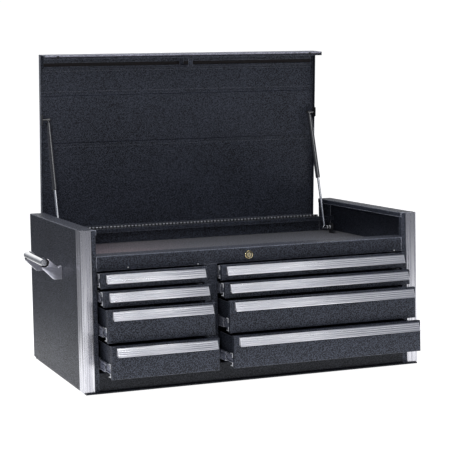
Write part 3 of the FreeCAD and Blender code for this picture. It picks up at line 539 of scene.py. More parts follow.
# ------------------------------------------------------------------ modelling
class Shape:
    """A piece being modelled, in millimetres in the chest's own frame."""

    def __init__(self) -> None:
        """Starts with an empty mesh."""
        self.bm = bmesh.new()

    def take(self, part: "Shape", matrix: Matrix | None = None) -> None:
        """Adds another shape's mesh to this one, moved by a matrix if one is given."""
        if matrix is not None:
            bmesh.ops.transform(part.bm, matrix=matrix, verts=part.bm.verts)
        mesh = bpy.data.meshes.new("part")
        part.bm.to_mesh(mesh)
        part.bm.free()
        self.bm.from_mesh(mesh)
        bpy.data.meshes.remove(mesh)

    def bevel(self, edges: list[bmesh.types.BMEdge], width: float, steps: int,
              clamp: bool = False) -> None:
        """Rounds edges off over a width."""
        bmesh.ops.bevel(self.bm, geom=edges, offset=width, segments=steps, profile=0.5,
                        affect="EDGES", material=-1, clamp_overlap=clamp)

    def outward(self) -> None:
        """Turns all faces to the outside."""
        bmesh.ops.recalc_face_normals(self.bm, faces=self.bm.faces)

    def walled(self, sheet: float) -> None:
        """Makes a sheet of the given thickness of the bare faces."""
        bmesh.ops.solidify(self.bm, geom=list(self.bm.faces), thickness=sheet)
        self.outward()

    def strip(self, line: Sequence[Pair], axis: Axis, span: Pair) -> None:
        """Draws an open line across an axis and extrudes it over a span along that axis."""
        verts = [self.bm.verts.new(axis.point(pair, span[0])) for pair in line]
        edges = [self.bm.edges.new(pair) for pair in zip(verts, verts[1:])]
        made = bmesh.ops.extrude_edge_only(self.bm, edges=edges)["geom"]
        ends = [item for item in made if isinstance(item, bmesh.types.BMVert)]
        bmesh.ops.translate(self.bm, vec=axis.run(span[1] - span[0]), verts=ends)

    def folded(self, line: Sequence[Pair], axis: Axis, span: Pair, sheet: float, side: int,
               bend: float = 1.0) -> "Shape":
        """Folds a sheet: the line of its outer face, bent round at each corner.

        Args:
            line: The outer face's points, as coordinates across the axis.
            axis: The direction that the folds run in.
            span: Start and end along the axis.
            sheet: The metal's thickness.
            side: +1 or -1, the side of the line that the metal is on.
            bend: Radius of the outer face at the folds, or 0 for sharp ones.

        Returns:
            The shape itself.
        """
        part = Shape()
        part.strip(line, axis, span)
        if bend > 0.0:
            part.bevel([e for e in part.bm.edges
                        if e.is_manifold and e.calc_face_angle() > FOLD_FROM], bend, 3)
        part.outward()
        part.aim(line, axis, side)
        part.walled(sheet)
        self.take(part)
        return self

    def aim(self, line: Sequence[Pair], axis: Axis, side: int) -> None:
        """Turns a strip's faces so that a wall added behind them lies on the asked side."""
        start, end = Vector(line[0]), Vector(line[1])
        step = (end - start).normalized()
        behind = axis.point((-step.y * side, step.x * side), 0.0)

        def gap(face: bmesh.types.BMFace) -> float:
            """Distance across the axis from a face to the middle of the line's first stretch."""
            middle = face.calc_center_median()
            across = Vector([middle[i] for i in range(3) if i != axis.value])
            return (across - (start + end) / 2.0).length

        if min(self.bm.faces, key=gap).normal.dot(behind) > 0.0:
            bmesh.ops.reverse_faces(self.bm, faces=self.bm.faces)

    def slab(self, x: Pair, y: Pair, z: Pair, edge: float = 0.0, steps: int = 2) -> "Shape":
        """A block with its edges eased.

        Args:
            x: Its ends along X, in either order.
            y: Its ends along Y.
            z: Its ends along Z.
            edge: Width of the easing.
            steps: Segments of the easing.

        Returns:
            The shape itself.
        """
        part = Shape()
        low, high = (Vector(ends) for ends in zip(*map(sorted, (x, y, z))))
        size = Matrix.Diagonal((*(high - low), 1.0))
        bmesh.ops.create_cube(part.bm, size=1.0, matrix=Matrix.Translation((low + high) / 2) @ size)
        if edge > 0.0:
            part.bevel(part.bm.edges[:], edge, steps)
        self.take(part)
        return self

    def bar(self, axis: Axis, across: Pair, span: Pair, radius: float, sides: int = 24,
            edge: float = 0.0) -> "Shape":
        """A round bar along an axis, with its rims eased.

        Args:
            axis: The bar's direction.
            across: The bar's middle, as coordinates across the axis.
            span: Start and end along the axis.
            radius: The bar's radius.
            sides: Sides of the round.
            edge: Width of the easing.

        Returns:
            The shape itself.
        """
        part = Shape()
        turn = Vector((0, 0, 1)).rotation_difference(axis.run(1.0)).to_matrix().to_4x4()
        middle = Matrix.Translation(axis.point(across, sum(span) / 2.0))
        bmesh.ops.create_cone(part.bm, cap_ends=True, segments=sides, radius1=radius,
                              radius2=radius, depth=abs(span[1] - span[0]), matrix=middle @ turn)
        if edge > 0.0:
            part.ease(edge)
        self.take(part)
        return self

    def turned(self, profile: Sequence[Pair], axis: Axis, across: Pair, sides: int = 32
               ) -> "Shape":
        """A turned form.

        Args:
            profile: (radius, place along the axis) pairs; it starts and ends on the axis.
            axis: The axis that it is turned about.
            across: The axis's place, as coordinates across it.
            sides: Steps of the turn.

        Returns:
            The shape itself.
        """
        part = Shape()
        arm = axis.point((1.0, 0.0), 0.0)
        centre = axis.point(across, 0.0)
        verts = [part.bm.verts.new(centre + arm * r + axis.run(place)) for r, place in profile]
        edges = [part.bm.edges.new(pair) for pair in zip(verts, verts[1:])]
        bmesh.ops.spin(part.bm, geom=verts + edges, cent=centre, axis=axis.run(1.0),
                       angle=2.0 * math.pi, steps=sides, use_merge=True)
        bmesh.ops.remove_doubles(part.bm, verts=part.bm.verts, dist=1e-4)
        part.outward()
        self.take(part)
        return self

    def dome(self, axis: Axis, across: Pair, foot: float, way: int, radius: float,
             height: float) -> "Shape":
        """A low rivet or screw head.

        Args:
            axis: The rivet's direction.
            across: Its middle, as coordinates across the axis.
            foot: Where its foot lies along the axis.
            way: +1 or -1, the way it points.
            radius: Its radius.
            height: Its height.

        Returns:
            The shape itself.
        """
        steps = ((1.0, 0.0), (1.0, 0.35), (0.8, 0.8), (0.4, 1.0), (0.0, 1.0))
        profile = [(0.0, foot - way * 0.3), (radius, foot - way * 0.3)]
        profile += [(radius * r, foot + way * height * h) for r, h in steps]
        return self.turned(profile, axis, across, 16)

    def ease(self, width: float, angle: float = 40.0, steps: int = 2) -> "Shape":
        """Bevels every edge sharper than an angle in degrees."""
        self.bevel([e for e in self.bm.edges
                    if e.is_manifold and e.calc_face_angle() > math.radians(angle)],
                   width, steps, True)
        return self

    def turn(self, degrees: float, axis: Axis, across: Pair) -> "Shape":
        """Turns the shape about a line along an axis."""
        centre = axis.point(across, 0.0)
        bmesh.ops.rotate(self.bm, cent=centre, verts=self.bm.verts,
                         matrix=Matrix.Rotation(math.radians(degrees), 3, axis.name))
        return self

    def opened(self) -> "Shape":
        """Swings a shape drawn on the shut lid to where the lid stands open."""
        return self.turn(-LID_OPEN, Axis.X, LID_AXIS)

    def piece(self, name: str, finish: Finish, body: str, slot: str,
              replaces: Iterable[str] = ()) -> bpy.types.Object:
        """Ends the modelling and hands the piece over.

        Args:
            name: The piece's name.
            finish: What it wears.
            body: The CAD body that it moves with.
            slot: The record's material slot that it would take; not used.
            replaces: CAD nodes that it stands for.

        Returns:
            The finished object.
        """
        bmesh.ops.scale(self.bm, vec=(MM, MM, MM), verts=self.bm.verts)
        mesh = bpy.data.meshes.new(name)
        self.bm.to_mesh(mesh)
        self.bm.free()
        mesh.shade_smooth()
        mesh.set_sharp_from_angle(angle=SMOOTH_BELOW)
        mesh.materials.append(finish.material())
        made = bpy.data.objects.new(name, mesh)
        bpy.context.scene.collection.objects.link(made)
        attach(made, body)
        if replaces:
            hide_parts(*replaces)
        return made


# ------------------------------------------------------------------ the case
@dataclass
class ChestCase:
    """Painted sheet case: double side walls, rails, divider, back, base and the till."""

    rivet_radius: float = 2.4
    rivet_height: float = 1.0
    ledge: float = 387.5
    ledge_half: float = 477.0
    rivet_places: tuple[Pair, ...] = ((-385.0, 351.5), (-176.0, 347.0), (452.0, 348.5))

    def build(self) -> None:
        """Dresses the case's nodes and adds its rivets."""
        rivets = Shape()
        for place in self.rivet_places:
            rivets.dome(Axis.Y, place, FRONT, -1, self.rivet_radius, self.rivet_height)
        rivets.piece("rail_rivets", NICKEL, "chest", "slide_zinc")
        # A pale strip on the ledge's front fold: painted highlight.
        hem = Shape().slab((-self.ledge_half, self.ledge_half), (FRONT - 0.3, FRONT + 1.6),
                           (self.ledge - 1.8, self.ledge + 0.3), 0.5)
        hem.piece("ledge_hem", LEDGE_HIGHLIGHT_PAINT, "chest", "case_paint")
        dress(PAINT, "inner_wall_left", "inner_wall_right", "back_panel", "center_divider",
              "till_floor")
        dress(RIM_PAINT, "side_panel_left", "side_panel_right", "top_rail")
        # Bottom rail and base pan in the darker copy: painted shade.
        dress(SHADE_PAINT, "bottom_rail", "base_pan")
        dress(MAT, "till_liner")
        LOG.info("case: 11 nodes dressed")


@dataclass
class CornerTrim:
    """Fluted aluminium angle that caps one front corner of the case."""

    side: Side
    outer: float = 524.0
    inner: float = 492.0
    front: float = -305.0
    back: float = -268.0
    foot: float = 5.0
    top: float = 462.0
    wall: float = 1.5
    flute: float = 1.1
    bead: float = 7.0
    bead_sunk: Pair = (0.3, 2.0)
    flutes: tuple[tuple[float, ...], ...] = ((13.0, 13.8, 15.2, 16.0), (24.6, 25.6, 28.0, 28.8))
    screw_heights: Pair = (386.0, 60.0)
    screw_back: float = 21.0
    screw_radius: float = 3.8

    def line(self) -> list[Pair]:
        """The outer line of the section, from the bay round the corner to the side.

        Returns:
            Points across Z, with three flutes in the front leg and one in the side leg.
        """
        x, front, outer = self.inner, self.front, self.outer
        deep, sunk = front + self.flute, outer - self.flute
        line = [(x, front + 1.2), (x + 0.8, front + 0.2), (x + 3.0, front + 0.2),
                (x + 4.0, deep), (x + 6.6, deep), (x + 7.6, front)]
        for edge, down, up, end in self.flutes:
            line += [(x + edge, front), (x + down, deep), (x + up, deep), (x + end, front)]
        return line + [
            (x + 30.6, front), (outer, front + 1.4), (outer, front + 6.0), (sunk, front + 7.0),
            (sunk, self.back - 8.0), (outer, self.back - 7.0), (outer, self.back - 0.6),
            (outer - 0.6, self.back)]

    def build(self) -> None:
        """Builds the angle, its screws and a near-black strip behind it: painted shadow of the gap
        at the trim's back edge.
        """
        sign, word = self.side.value, self.side.word
        shape = Shape().folded([(sign * x, y) for x, y in self.line()], Axis.Z,
                               (self.foot, self.top), self.wall, -sign, bend=0.0)
        shape.ease(0.25, 60.0, 1)
        shape.piece(f"trim_{word}", TRIM, "chest", "trim_aluminium", [f"corner_trim_{word}"])
        screws = Shape()
        for height in self.screw_heights:
            screws.dome(Axis.X, (self.front + self.screw_back, height),
                        sign * (self.outer - self.flute), sign, self.screw_radius, self.flute)
        screws.piece(f"trim_screws_{word}", NICKEL, "chest", "slide_zinc")
        # A near-black strip behind the trim: painted shadow of the gap.
        bead = Shape().slab([sign * self.outer - sign * sunk for sunk in self.bead_sunk],
                            (self.back, self.back + self.bead),
                            (self.foot + 1.0, self.top - 1.0), 0.5)
        bead.piece(f"trim_bead_{word}", SEAL_AND_SHADE, "chest", "bumper_rubber")
        LOG.info("corner trim %s", word)


@dataclass
class PianoHinge:
    """Full-width hinge: two leaves with short knuckles in turn along one pin."""

    half: float = 474.0
    knuckles: int = 159
    radius: float = 3.2
    leaf: float = 1.0
    width: float = 23.0
    gap: float = 1.2
    clear: float = 0.2

    def rolls(self, first: int) -> Shape:
        """Every second knuckle of the hinge, from the first one given."""
        shape = Shape()
        pitch = 2.0 * self.half / self.knuckles
        for index in range(first, self.knuckles, 2):
            start = -self.half + index * pitch
            span = (start + self.gap / 2.0, start + pitch - self.gap / 2.0)
            shape.bar(Axis.X, LID_AXIS, span, self.radius, 14, 0.35)
        return shape

    def build(self) -> None:
        """Builds both leaves and their knuckles, and dresses the pin."""
        y, z = LID_AXIS
        low, back, reach = z - self.radius, y + self.radius, (-self.half, self.half)
        # Chest knuckles bright, lid knuckles near-black: painted highlight and painted shade that
        # make one metal read as a dotted line of glints.
        self.rolls(0).piece("hinge_rolls_chest", KNUCKLE, "chest", "hinge_steel")
        chest = Shape().slab(reach, (y - self.width, y - self.radius - self.clear),
                             (low, low + self.leaf), 0.2, 1)
        chest.piece("hinge_chest", HINGE, "chest", "hinge_steel", ["hinge_leaf_chest"])
        self.rolls(1).opened().piece("hinge_rolls_lid", BLACK_ZINC, "lid", "hinge_steel")
        lid = Shape().slab(reach, (back - self.leaf, back),
                           (z + self.radius + self.clear, z + self.width), 0.2, 1)
        lid.opened().piece("hinge_lid", HINGE, "lid", "hinge_steel", ["hinge_leaf_lid"])
        dress(CHROME, "hinge_pin")
        LOG.info("piano hinge: %d knuckles", self.knuckles)


# ------------------------------------------------------------------ drawers
@dataclass
class DrawerPull:
    """Ribbed aluminium extrusion: a slanting hood with a lip curled under it."""

    bank: Bank
    row: int
    top: float
    face: float
    insets: Pair = (17.0, 10.5)
    height: float = 24.0
    top_reach: float = 5.4
    bottom_reach: float = 16.3
    wall: float = 1.8
    ribs: int = 4
    groove: float = 1.15
    rib_band: Pair = (0.06, 0.88)
    rib_turns: tuple[Pair, ...] = ((0.16, 0.0), (0.27, 1.0), (0.62, 1.0), (0.73, 0.0))

    def line(self) -> list[Pair]:
        """The outer line of the section, from the lip over the ribbed hood to the leg.

        Returns:
            Points across X.
        """
        low = self.top - self.height
        foot = Vector((self.face - self.bottom_reach, low))
        brow = Vector((self.face - self.top_reach, self.top))
        inward = Vector((brow.y - foot.y, foot.x - brow.x)).normalized() * self.groove
        hood = [tuple(foot)]
        for rib in range(self.ribs):
            for share, sunk in self.rib_turns:
                at = foot.lerp(brow, self.rib_band[0]
                               + self.rib_band[1] * (rib + share) / self.ribs)
                hood.append(tuple(at + inward * sunk))
        hood.append(tuple(brow))
        return [(self.face - self.bottom_reach + 6.0, low + 0.8), *hood,
                (self.face, self.top), (self.face, low + self.wall)]

    def build(self) -> None:
        """Builds the pull in place of its plain extrusion."""
        left, right = self.bank.bay
        shape = Shape().folded(self.line(), Axis.X, (left + self.insets[0], right - self.insets[1]),
                               self.wall, -1, bend=0.0)
        name = self.bank.drawer(self.row)
        shape.ease(0.18, 50.0, 1).piece(f"grip_{name}", PULL, f"drawer_{name}", "pull_aluminium",
                                        [f"pull_{name}"])


def evened(half: Sequence[Pair], middle: float) -> list[Pair]:
    """A slide's section from its upper half; its lower half is the same.

    Args:
        half: (X, height over the middle) pairs, from the top lip down.
        middle: The slide's middle height.

    Returns:
        The whole line.
    """
    return ([(x, middle + rise) for x, rise in half]
            + [(x, middle - rise) for x, rise in reversed(half)])


@dataclass
class Drawer:
    """Steel tray on a shallow folded front, with the inner members of its slides."""

    bank: Bank
    row: int
    low: float
    high: float
    depth: float = 14.0
    side_gap: float = 2.5
    sheet: float = 1.2
    slide_space: float = 12.7
    tray_back: float = 241.0
    floor_rise: float = 5.0
    rim_drop: float = 8.0
    pull_drop: float = 4.4
    hem_deep: float = 9.0
    plate_inset: float = 1.4
    runner_lip: float = 6.0
    crest: float = 3.4

    def build(self) -> None:
        """Builds the front, tray, slides and pull of one drawer."""
        face = FRONT - self.bank.pulled(self.row)
        left, right = self.bank.bay
        name = self.bank.drawer(self.row)
        tray = Shape()
        tray.take(self.front_pan(left + self.side_gap, right - self.side_gap, face))
        tray.take(self.box(left + self.slide_space, right - self.slide_space, face))
        for piece, shape, finish, slot, nodes in (
                ("tray", tray, PAINT, "case_paint", [f"drawer_{name}"]),
                ("runner", self.inner_members(), SLIDE, "slide_zinc", []),
                # The curls' pale colour is painted highlight.
                ("runner_ends", self.turned_ends(), NYLON_AND_HIGHLIGHT, "slide_zinc", [])):
            shape.piece(f"{piece}_{name}", finish, f"drawer_{name}", slot, nodes)
        DrawerPull(self.bank, self.row, self.high - self.pull_drop, face).build()
        LOG.info("drawer %s", name)

    def front_pan(self, left: float, right: float, face: float) -> Shape:
        """The drawer front: a shallow pan with rounded front edges, open at its back."""
        pan = Shape().slab((left, right), (face, face + self.depth), (self.low, self.high))
        back = [f for f in pan.bm.faces if f.normal.y > 0.5]
        bmesh.ops.delete(pan.bm, geom=back, context="FACES_ONLY")
        pan.bevel([e for e in pan.bm.edges if all(v.co.y < face + 0.1 for v in e.verts)], 2.0, 4)
        pan.walled(self.sheet)
        return pan

    def box(self, left: float, right: float, face: float) -> Shape:
        """The open tray behind the front, with a hem round its rim and a plate to the front."""
        start = face + self.depth - 1.0
        end = self.tray_back - self.bank.pulled(self.row)
        rim = self.high - self.rim_drop
        tray = Shape().slab((left, right), (start, end), (self.low + self.floor_rise, rim))
        lid = [f for f in tray.bm.faces if f.normal.z > 0.5]
        bmesh.ops.delete(tray.bm, geom=lid, context="FACES_ONLY")
        tray.bevel([e for e in tray.bm.edges if e.is_manifold], 1.5, 2)
        tray.walled(1.0)
        for x, y in (((left + 0.9, left + 2.4), (start + 1.0, end - 1.0)),
                     ((right - 2.4, right - 0.9), (start + 1.0, end - 1.0)),
                     ((left + 1.0, right - 1.0), (end - 2.4, end - 0.9))):
            tray.slab(x, y, (rim - self.hem_deep, rim), 0.5)
        return tray.slab((left, right), (start, start + 1.0),
                         (self.low + self.plate_inset, self.high - self.plate_inset), 0.2, 1)

    @property
    def runner_start(self) -> float:
        """Where the slides' inner channels begin, just behind the front."""
        return FRONT + self.depth + 0.2 - self.bank.pulled(self.row)

    def inner_members(self) -> Shape:
        """The slides' ridged inner channels, riveted to the tray's two sides."""
        start = self.runner_start
        shape = Shape()
        for wall, inward in self.bank.walls:
            web = wall + inward * self.slide_space
            lips = wall + inward * self.runner_lip
            crest = web - inward * self.crest
            half = ((lips, 10.5), (web, 10.5), (web, 6.0), (crest, 4.6), (crest, 1.9), (web, 0.6))
            shape.folded(evened(half, self.low + SLIDE_RISE), Axis.Y,
                         (start + 1.8, start + SLIDE_LENGTH), self.sheet, -inward, 0.0)
        return shape

    def turned_ends(self) -> Shape:
        """The pale curls at the front ends of the slides' inner channels; their pale colour is
        painted highlight of the lit lips.
        """
        middle = self.low + SLIDE_RISE
        start = self.runner_start
        shape = Shape()
        for wall, inward in self.bank.walls:
            for up in (1, -1):
                line = [(wall + inward * x, middle + up * z)
                        for x, z in ((9.0, 17.6), (2.0, 17.6), (0.9, 16.5), (0.9, 6.5))]
                shape.folded(line, Axis.Y, (start, start + 1.7), 2.6, inward * up, 0.0)
                shape.slab((wall + inward * 1.0, wall + inward * 5.0), (start, start + 16.0),
                           (middle + up * 16.7, middle + up * 18.4), 0.4, 1)
        return shape


@dataclass
class MiddleMembers:
    """The ridged middle channels of one drawer's two slides, which travel half its way."""

    bank: Bank
    row: int
    middle: float
    start: float = -287.0
    sheet: float = 1.2
    ridge: float = 2.4
    near: float = 3.0
    far: float = 8.9
    half: float = 13.2

    def build(self) -> None:
        """Builds both channels in place of their plain ones."""
        start = self.start - self.bank.pulled(self.row) / 2.0
        shape = Shape()
        for wall, inward in self.bank.walls:
            lips, web = wall + inward * self.far, wall + inward * self.near
            dip = web + inward * self.ridge
            half = ((lips, self.half), (web, self.half), (web, 9.4), (dip, 8.0), (dip, 5.4),
                    (web, 4.0))
            shape.folded(evened(half, self.middle), Axis.Y, (start, start + SLIDE_LENGTH),
                         self.sheet, inward, 0.0)
        name = self.bank.drawer(self.row)
        shape.piece(f"slide_channel_{name}", SLIDE, f"slide_{name}", "slide_zinc",
                    [f"slide_{name}"])


@dataclass
class DrawerBank:
    """Four drawers, one above the other, on telescoping slides."""

    bank: Bank
    top: float = 343.0
    heights: tuple[float, ...] = (43.8, 43.8, 91.6, 91.6)
    gap: float = 4.0

    def build(self) -> None:
        """Builds the bank's drawers from the top down and dresses their slides."""
        high = self.top
        for row, height in enumerate(self.heights, 1):
            Drawer(self.bank, row, high - height, high).build()
            MiddleMembers(self.bank, row, high - height + SLIDE_RISE).build()
            high -= height + self.gap
        dress(SLIDE, f"slide_rails_{self.bank.word}")
        LOG.info("bank %s: %d drawers", self.bank.word, len(self.heights))


# ------------------------------------------------------------------ lid, struts, fittings
@dataclass
class Lid:
    """Shallow folded lid with its stiffeners, standing open."""

    lip_front: float = -250.0
    front: float = -248.3
    under: float = 460.3
    lip: float = 389.5
    drop: float = 12.0
    half: float = 462.0
    groove: Pair = (25.1, 37.6)
    groove_deep: float = 8.0
    flange: float = 14.0
    hem: Pair = (-0.2, 4.6)            # from the lip's front edge inward
    seam: Pair = (4.8, 7.2)

    def corner_band(self) -> None:
        """The stiffener in the lid's front corner, with a near-black sealing strip in its groove,
        partly a real strip and partly painted shade of the groove.
        """
        low = self.under - self.drop
        start, end = (self.front + step for step in self.groove)
        band = Shape()
        band.folded([(self.front, low - self.flange), (self.front, low), (start, low),
                     (start, low + self.groove_deep), (end, low + self.groove_deep),
                     (end, low), (end + 3.5, low),
                     (end + 7.5, self.under), (end + 15.0, self.under)], Axis.X,
                    (-self.half, self.half), 0.8, 1, 0.4)
        band.opened().piece("lid_corner", PAINT, "lid", "case_paint", ["lid_corner_band"])
        # Near-black strip in the groove: partly a sealing strip, partly painted shade.
        seal = Shape().slab((-self.half + 1.0, self.half - 1.0), (start + 0.2, end - 0.9),
                            (low + 4.0, low + self.groove_deep), 1.2)
        seal.opened().piece("lid_seal", SEAL_AND_SHADE, "lid", "bumper_rubber")

    def edge(self) -> None:
        """The hem along the lip's front edge, painted pale as a highlight, with a near-black strip
        behind it as painted shadow.
        """
        reach = self.half + 10.0
        front = self.lip_front
        # The pale hem is painted highlight; the near-black strip behind it is painted shadow.
        for name, finish, span, drop in (("lid_hem", HEM_HIGHLIGHT_PAINT, self.hem, 0.8),
                                         ("lid_seam", SEAL_AND_SHADE, self.seam, 0.3)):
            strip = Shape().slab((-reach, reach), (front + span[0], front + span[1]),
                                 (self.lip - drop, self.lip + 0.6), 0.25, 1)
            strip.opened().piece(name, finish, "lid", "case_paint")

    def build(self) -> None:
        """Dresses the lid's nodes and builds its corner band and hem."""
        dress(LID_PAINT, "lid_panel")
        dress(PAINT, "lid_stiffener", "lock_strike")
        self.corner_band()
        self.edge()
        dress(RUBBER_AND_SHADE, "lid_bumpers")
        LOG.info("lid: 4 nodes dressed")


@dataclass
class GasStrut:
    """Lift strut on one side: a black cylinder over a chromed rod."""

    side: Side
    across: float = 452.5
    eye_half: float = 4.0
    foot: Pair = (202.0, 373.5)
    head: Pair = (316.0, 756.5)
    clip_gap: float = 1.9
    clip_thick: float = 1.5
    clip_radius: float = 5.2
    stud_end: Pair = (3.2, 1.4)        # radius and height of the end that the clip holds
    collar_radius: float = 6.0
    collar_places: Pair = (459.8, 469.2)
    collar: float = 3.4

    def clip(self, name: str, body: str, place: Pair, finish: Finish) -> None:
        """A spring clip over the end of a stud, on the side away from the case.

        Args:
            name: The clip's name.
            body: The CAD body that it moves with.
            place: Y and Z of the stud.
            finish: What it wears.
        """
        sign = self.side.value
        near = sign * (self.across - self.eye_half - self.clip_gap)
        far = near - sign * self.clip_thick
        clip = Shape().bar(Axis.X, place, (far, near), self.clip_radius, 20, 0.4)
        clip.dome(Axis.X, place, far, -sign, *self.stud_end)
        clip.piece(f"clip_{name}", finish, body, "slide_zinc")

    def collars(self) -> None:
        """Two pale collars on the lower stud, between the eye and its bracket."""
        sign = self.side.value
        shape = Shape()
        for near in self.collar_places:
            shape.bar(Axis.X, self.foot, (sign * near, sign * (near + self.collar)),
                      self.collar_radius, 20, 0.9)
        shape.piece(f"stud_collars_{self.side.word}", NYLON_AND_HIGHLIGHT, "chest", "slide_zinc")

    def build(self) -> None:
        """Dresses the strut, clips its ends and puts the collars on its lower stud."""
        word = self.side.word
        self.collars()
        self.clip(f"foot_{word}", "chest", self.foot, CHROME)
        self.clip(f"head_{word}", f"strut_cylinder_{word}", self.head, BLACK_ZINC)
        dress(BLACK, f"strut_cylinder_{word}")
        dress(CHROME, f"strut_rod_{word}")
        LOG.info("strut %s", word)


@dataclass
class CarryHandle:
    """Chromed tube in two cast brackets on one side of the case."""

    side: Side
    axis: Pair = (-573.0, 351.5)
    skin: float = -522.0
    middle: float = 29.0
    span: float = 107.0
    thickness: float = 16.0
    grip: float = 11.0
    saddle: float = 13.6
    liner: float = 13.5
    arm: Pair = (0.78, -0.62)          # the way that the open side of a saddle faces
    rim: float = 1.6

    def outer(self, sign: int) -> float:
        """Outer end along Y of the front bracket (-1) or the rear one (+1)."""
        return self.middle + sign * (self.span + self.thickness / 2.0)

    def bracket(self, sign: int) -> Shape:
        """One left-hand bracket: an arm from its foot plate up to the saddle of the grip.

        Args:
            sign: -1 for the front bracket, +1 for the rear one.

        Returns:
            The bracket.
        """
        x, z = self.axis
        outer = self.outer(sign)
        inner = outer - sign * self.thickness
        tilt = math.atan2(self.arm[1], self.arm[0])
        turns = [tilt + math.radians(a) for a in range(-78, 79, 13)]
        saddle = [(x + self.saddle * math.cos(a), z + self.saddle * math.sin(a)) for a in turns]
        line = [(-547.0, 302.2), (-541.0, 301.0), (self.skin, 301.0), (self.skin, 340.0),
                (self.skin - 3.0, 340.0), (self.skin - 11.0, 336.8), (x + 12.6, z + 9.6),
                *reversed(saddle), (x - 6.6, z - 16.2)]
        part = Shape()
        verts = [part.bm.verts.new((px, inner, pz)) for px, pz in line]
        part.bm.faces.new(verts)
        made = bmesh.ops.extrude_face_region(part.bm, geom=part.bm.faces[:])["geom"]
        moved = [item for item in made if isinstance(item, bmesh.types.BMVert)]
        bmesh.ops.translate(part.bm, vec=(0.0, outer - inner, 0.0), verts=moved)
        part.outward()
        rims = [e for e in part.bm.edges if e.is_manifold and all(
            abs(v.co.y - outer) < 0.1 and v.co.x < self.skin - 1.0 for v in e.verts)]
        part.bevel(rims, self.rim, 3, True)
        return part

    def sleeve(self, sign: int) -> Shape:
        """The near-black ring between one saddle and the grip: painted shadow of the gap where the
        grip sits in the saddle.
        """
        x, z = self.axis
        face, back = self.outer(sign) - sign * 1.0, self.outer(sign) - sign * self.thickness
        low, high = self.grip + 0.05, self.liner
        ring = Shape().turned([(low, face), (high, face), (high, back), (low, back), (low, face)],
                              Axis.Y, self.axis, 40)
        bmesh.ops.bisect_plane(ring.bm, geom=[*ring.bm.verts, *ring.bm.edges, *ring.bm.faces],
                               plane_co=(x, 0.0, z), plane_no=(-self.arm[0], 0.0, -self.arm[1]),
                               clear_outer=True)
        bmesh.ops.holes_fill(ring.bm, edges=[e for e in ring.bm.edges if e.is_boundary])
        return ring

    def build(self) -> None:
        """Dresses the grip and builds its brackets and the near-black rings of painted shadow in
        their saddles.
        """
        word = self.side.word
        dress(CHROME, f"handle_grip_{word}")
        brackets, shade_rings = Shape(), Shape()
        flip = Matrix.Diagonal((-1.0, 1.0, 1.0, 1.0)) if self.side is Side.RIGHT else None
        for sign in (-1, 1):
            brackets.take(self.bracket(sign), flip)
            shade_rings.take(self.sleeve(sign), flip)
        brackets.outward()
        shade_rings.outward()
        brackets.piece(f"carry_brackets_{word}", CASTING, "chest", "bracket_metal",
                       [f"handle_brackets_{word}"])
        # Near-black rings round the grip in the saddles: painted shadow.
        shade_rings.piece(f"carry_liners_{word}", SEAL_AND_SHADE, "chest", "bumper_rubber")
        LOG.info("handle %s", word)


@dataclass
class Fittings:
    """Lock, strut brackets and the handles' bolts."""

    lock: Pair = (-19.0, 365.0)
    face: float = -305.5
    case_back: float = -262.0

    def lock_case(self) -> None:
        """The lock's case, with near-black pieces in the groove between its rim and the plug and in
        its slot: painted shade.
        """
        profile = [
            (5.6, 0.0), (6.9, 0.0), (7.3, 0.4), (7.3, 1.8), (9.4, 1.8), (9.4, 0.6), (10.2, 0.0),
            (11.2, 0.0), (12.1, 0.5), (12.5, 1.5), (12.5, 2.5), (9.5, 2.5), (9.5, 3.5),
            (13.0, 3.5), (13.0, 9.5), (9.5, 9.5),
        ]
        face, back = self.face, self.case_back
        case = Shape().turned([*((r, face + deep) for r, deep in profile), (9.5, back),
                               (5.6, back), (5.6, face)], Axis.Y, self.lock, 40)
        case.piece("lock_case", BRASS, "chest", "lock_brass", ["lock_housing"])
        # A near-black ring in the groove: painted shade.
        groove = ((7.35, 1.0), (9.35, 1.0), (9.35, 1.75), (7.35, 1.75), (7.35, 1.0))
        ring = Shape().turned([(r, face + deep) for r, deep in groove], Axis.Y, self.lock, 40)
        ring.piece("lock_ring", RUBBER_AND_SHADE, "chest", "bumper_rubber")
        # A near-black slab over the keyway: painted shade of its slot.
        x, z = self.lock
        slot = Shape().slab((x - 1.3, x + 1.3), (face - 0.15, face + 0.6), (z - 4.2, z + 3.2),
                            0.2, 1)
        slot.piece("lock_keyway", RUBBER_AND_SHADE, "lock_plug", "bumper_rubber")

    def build(self) -> None:
        """Builds the lock's case and dresses the fittings."""
        self.lock_case()
        dress(BRASS, "lock_plug")
        dress(ZINC, "handle_bolts")
        dress(BLACK_ZINC, "strut_brackets_chest", "strut_brackets_lid")
        LOG.info("fittings dressed")


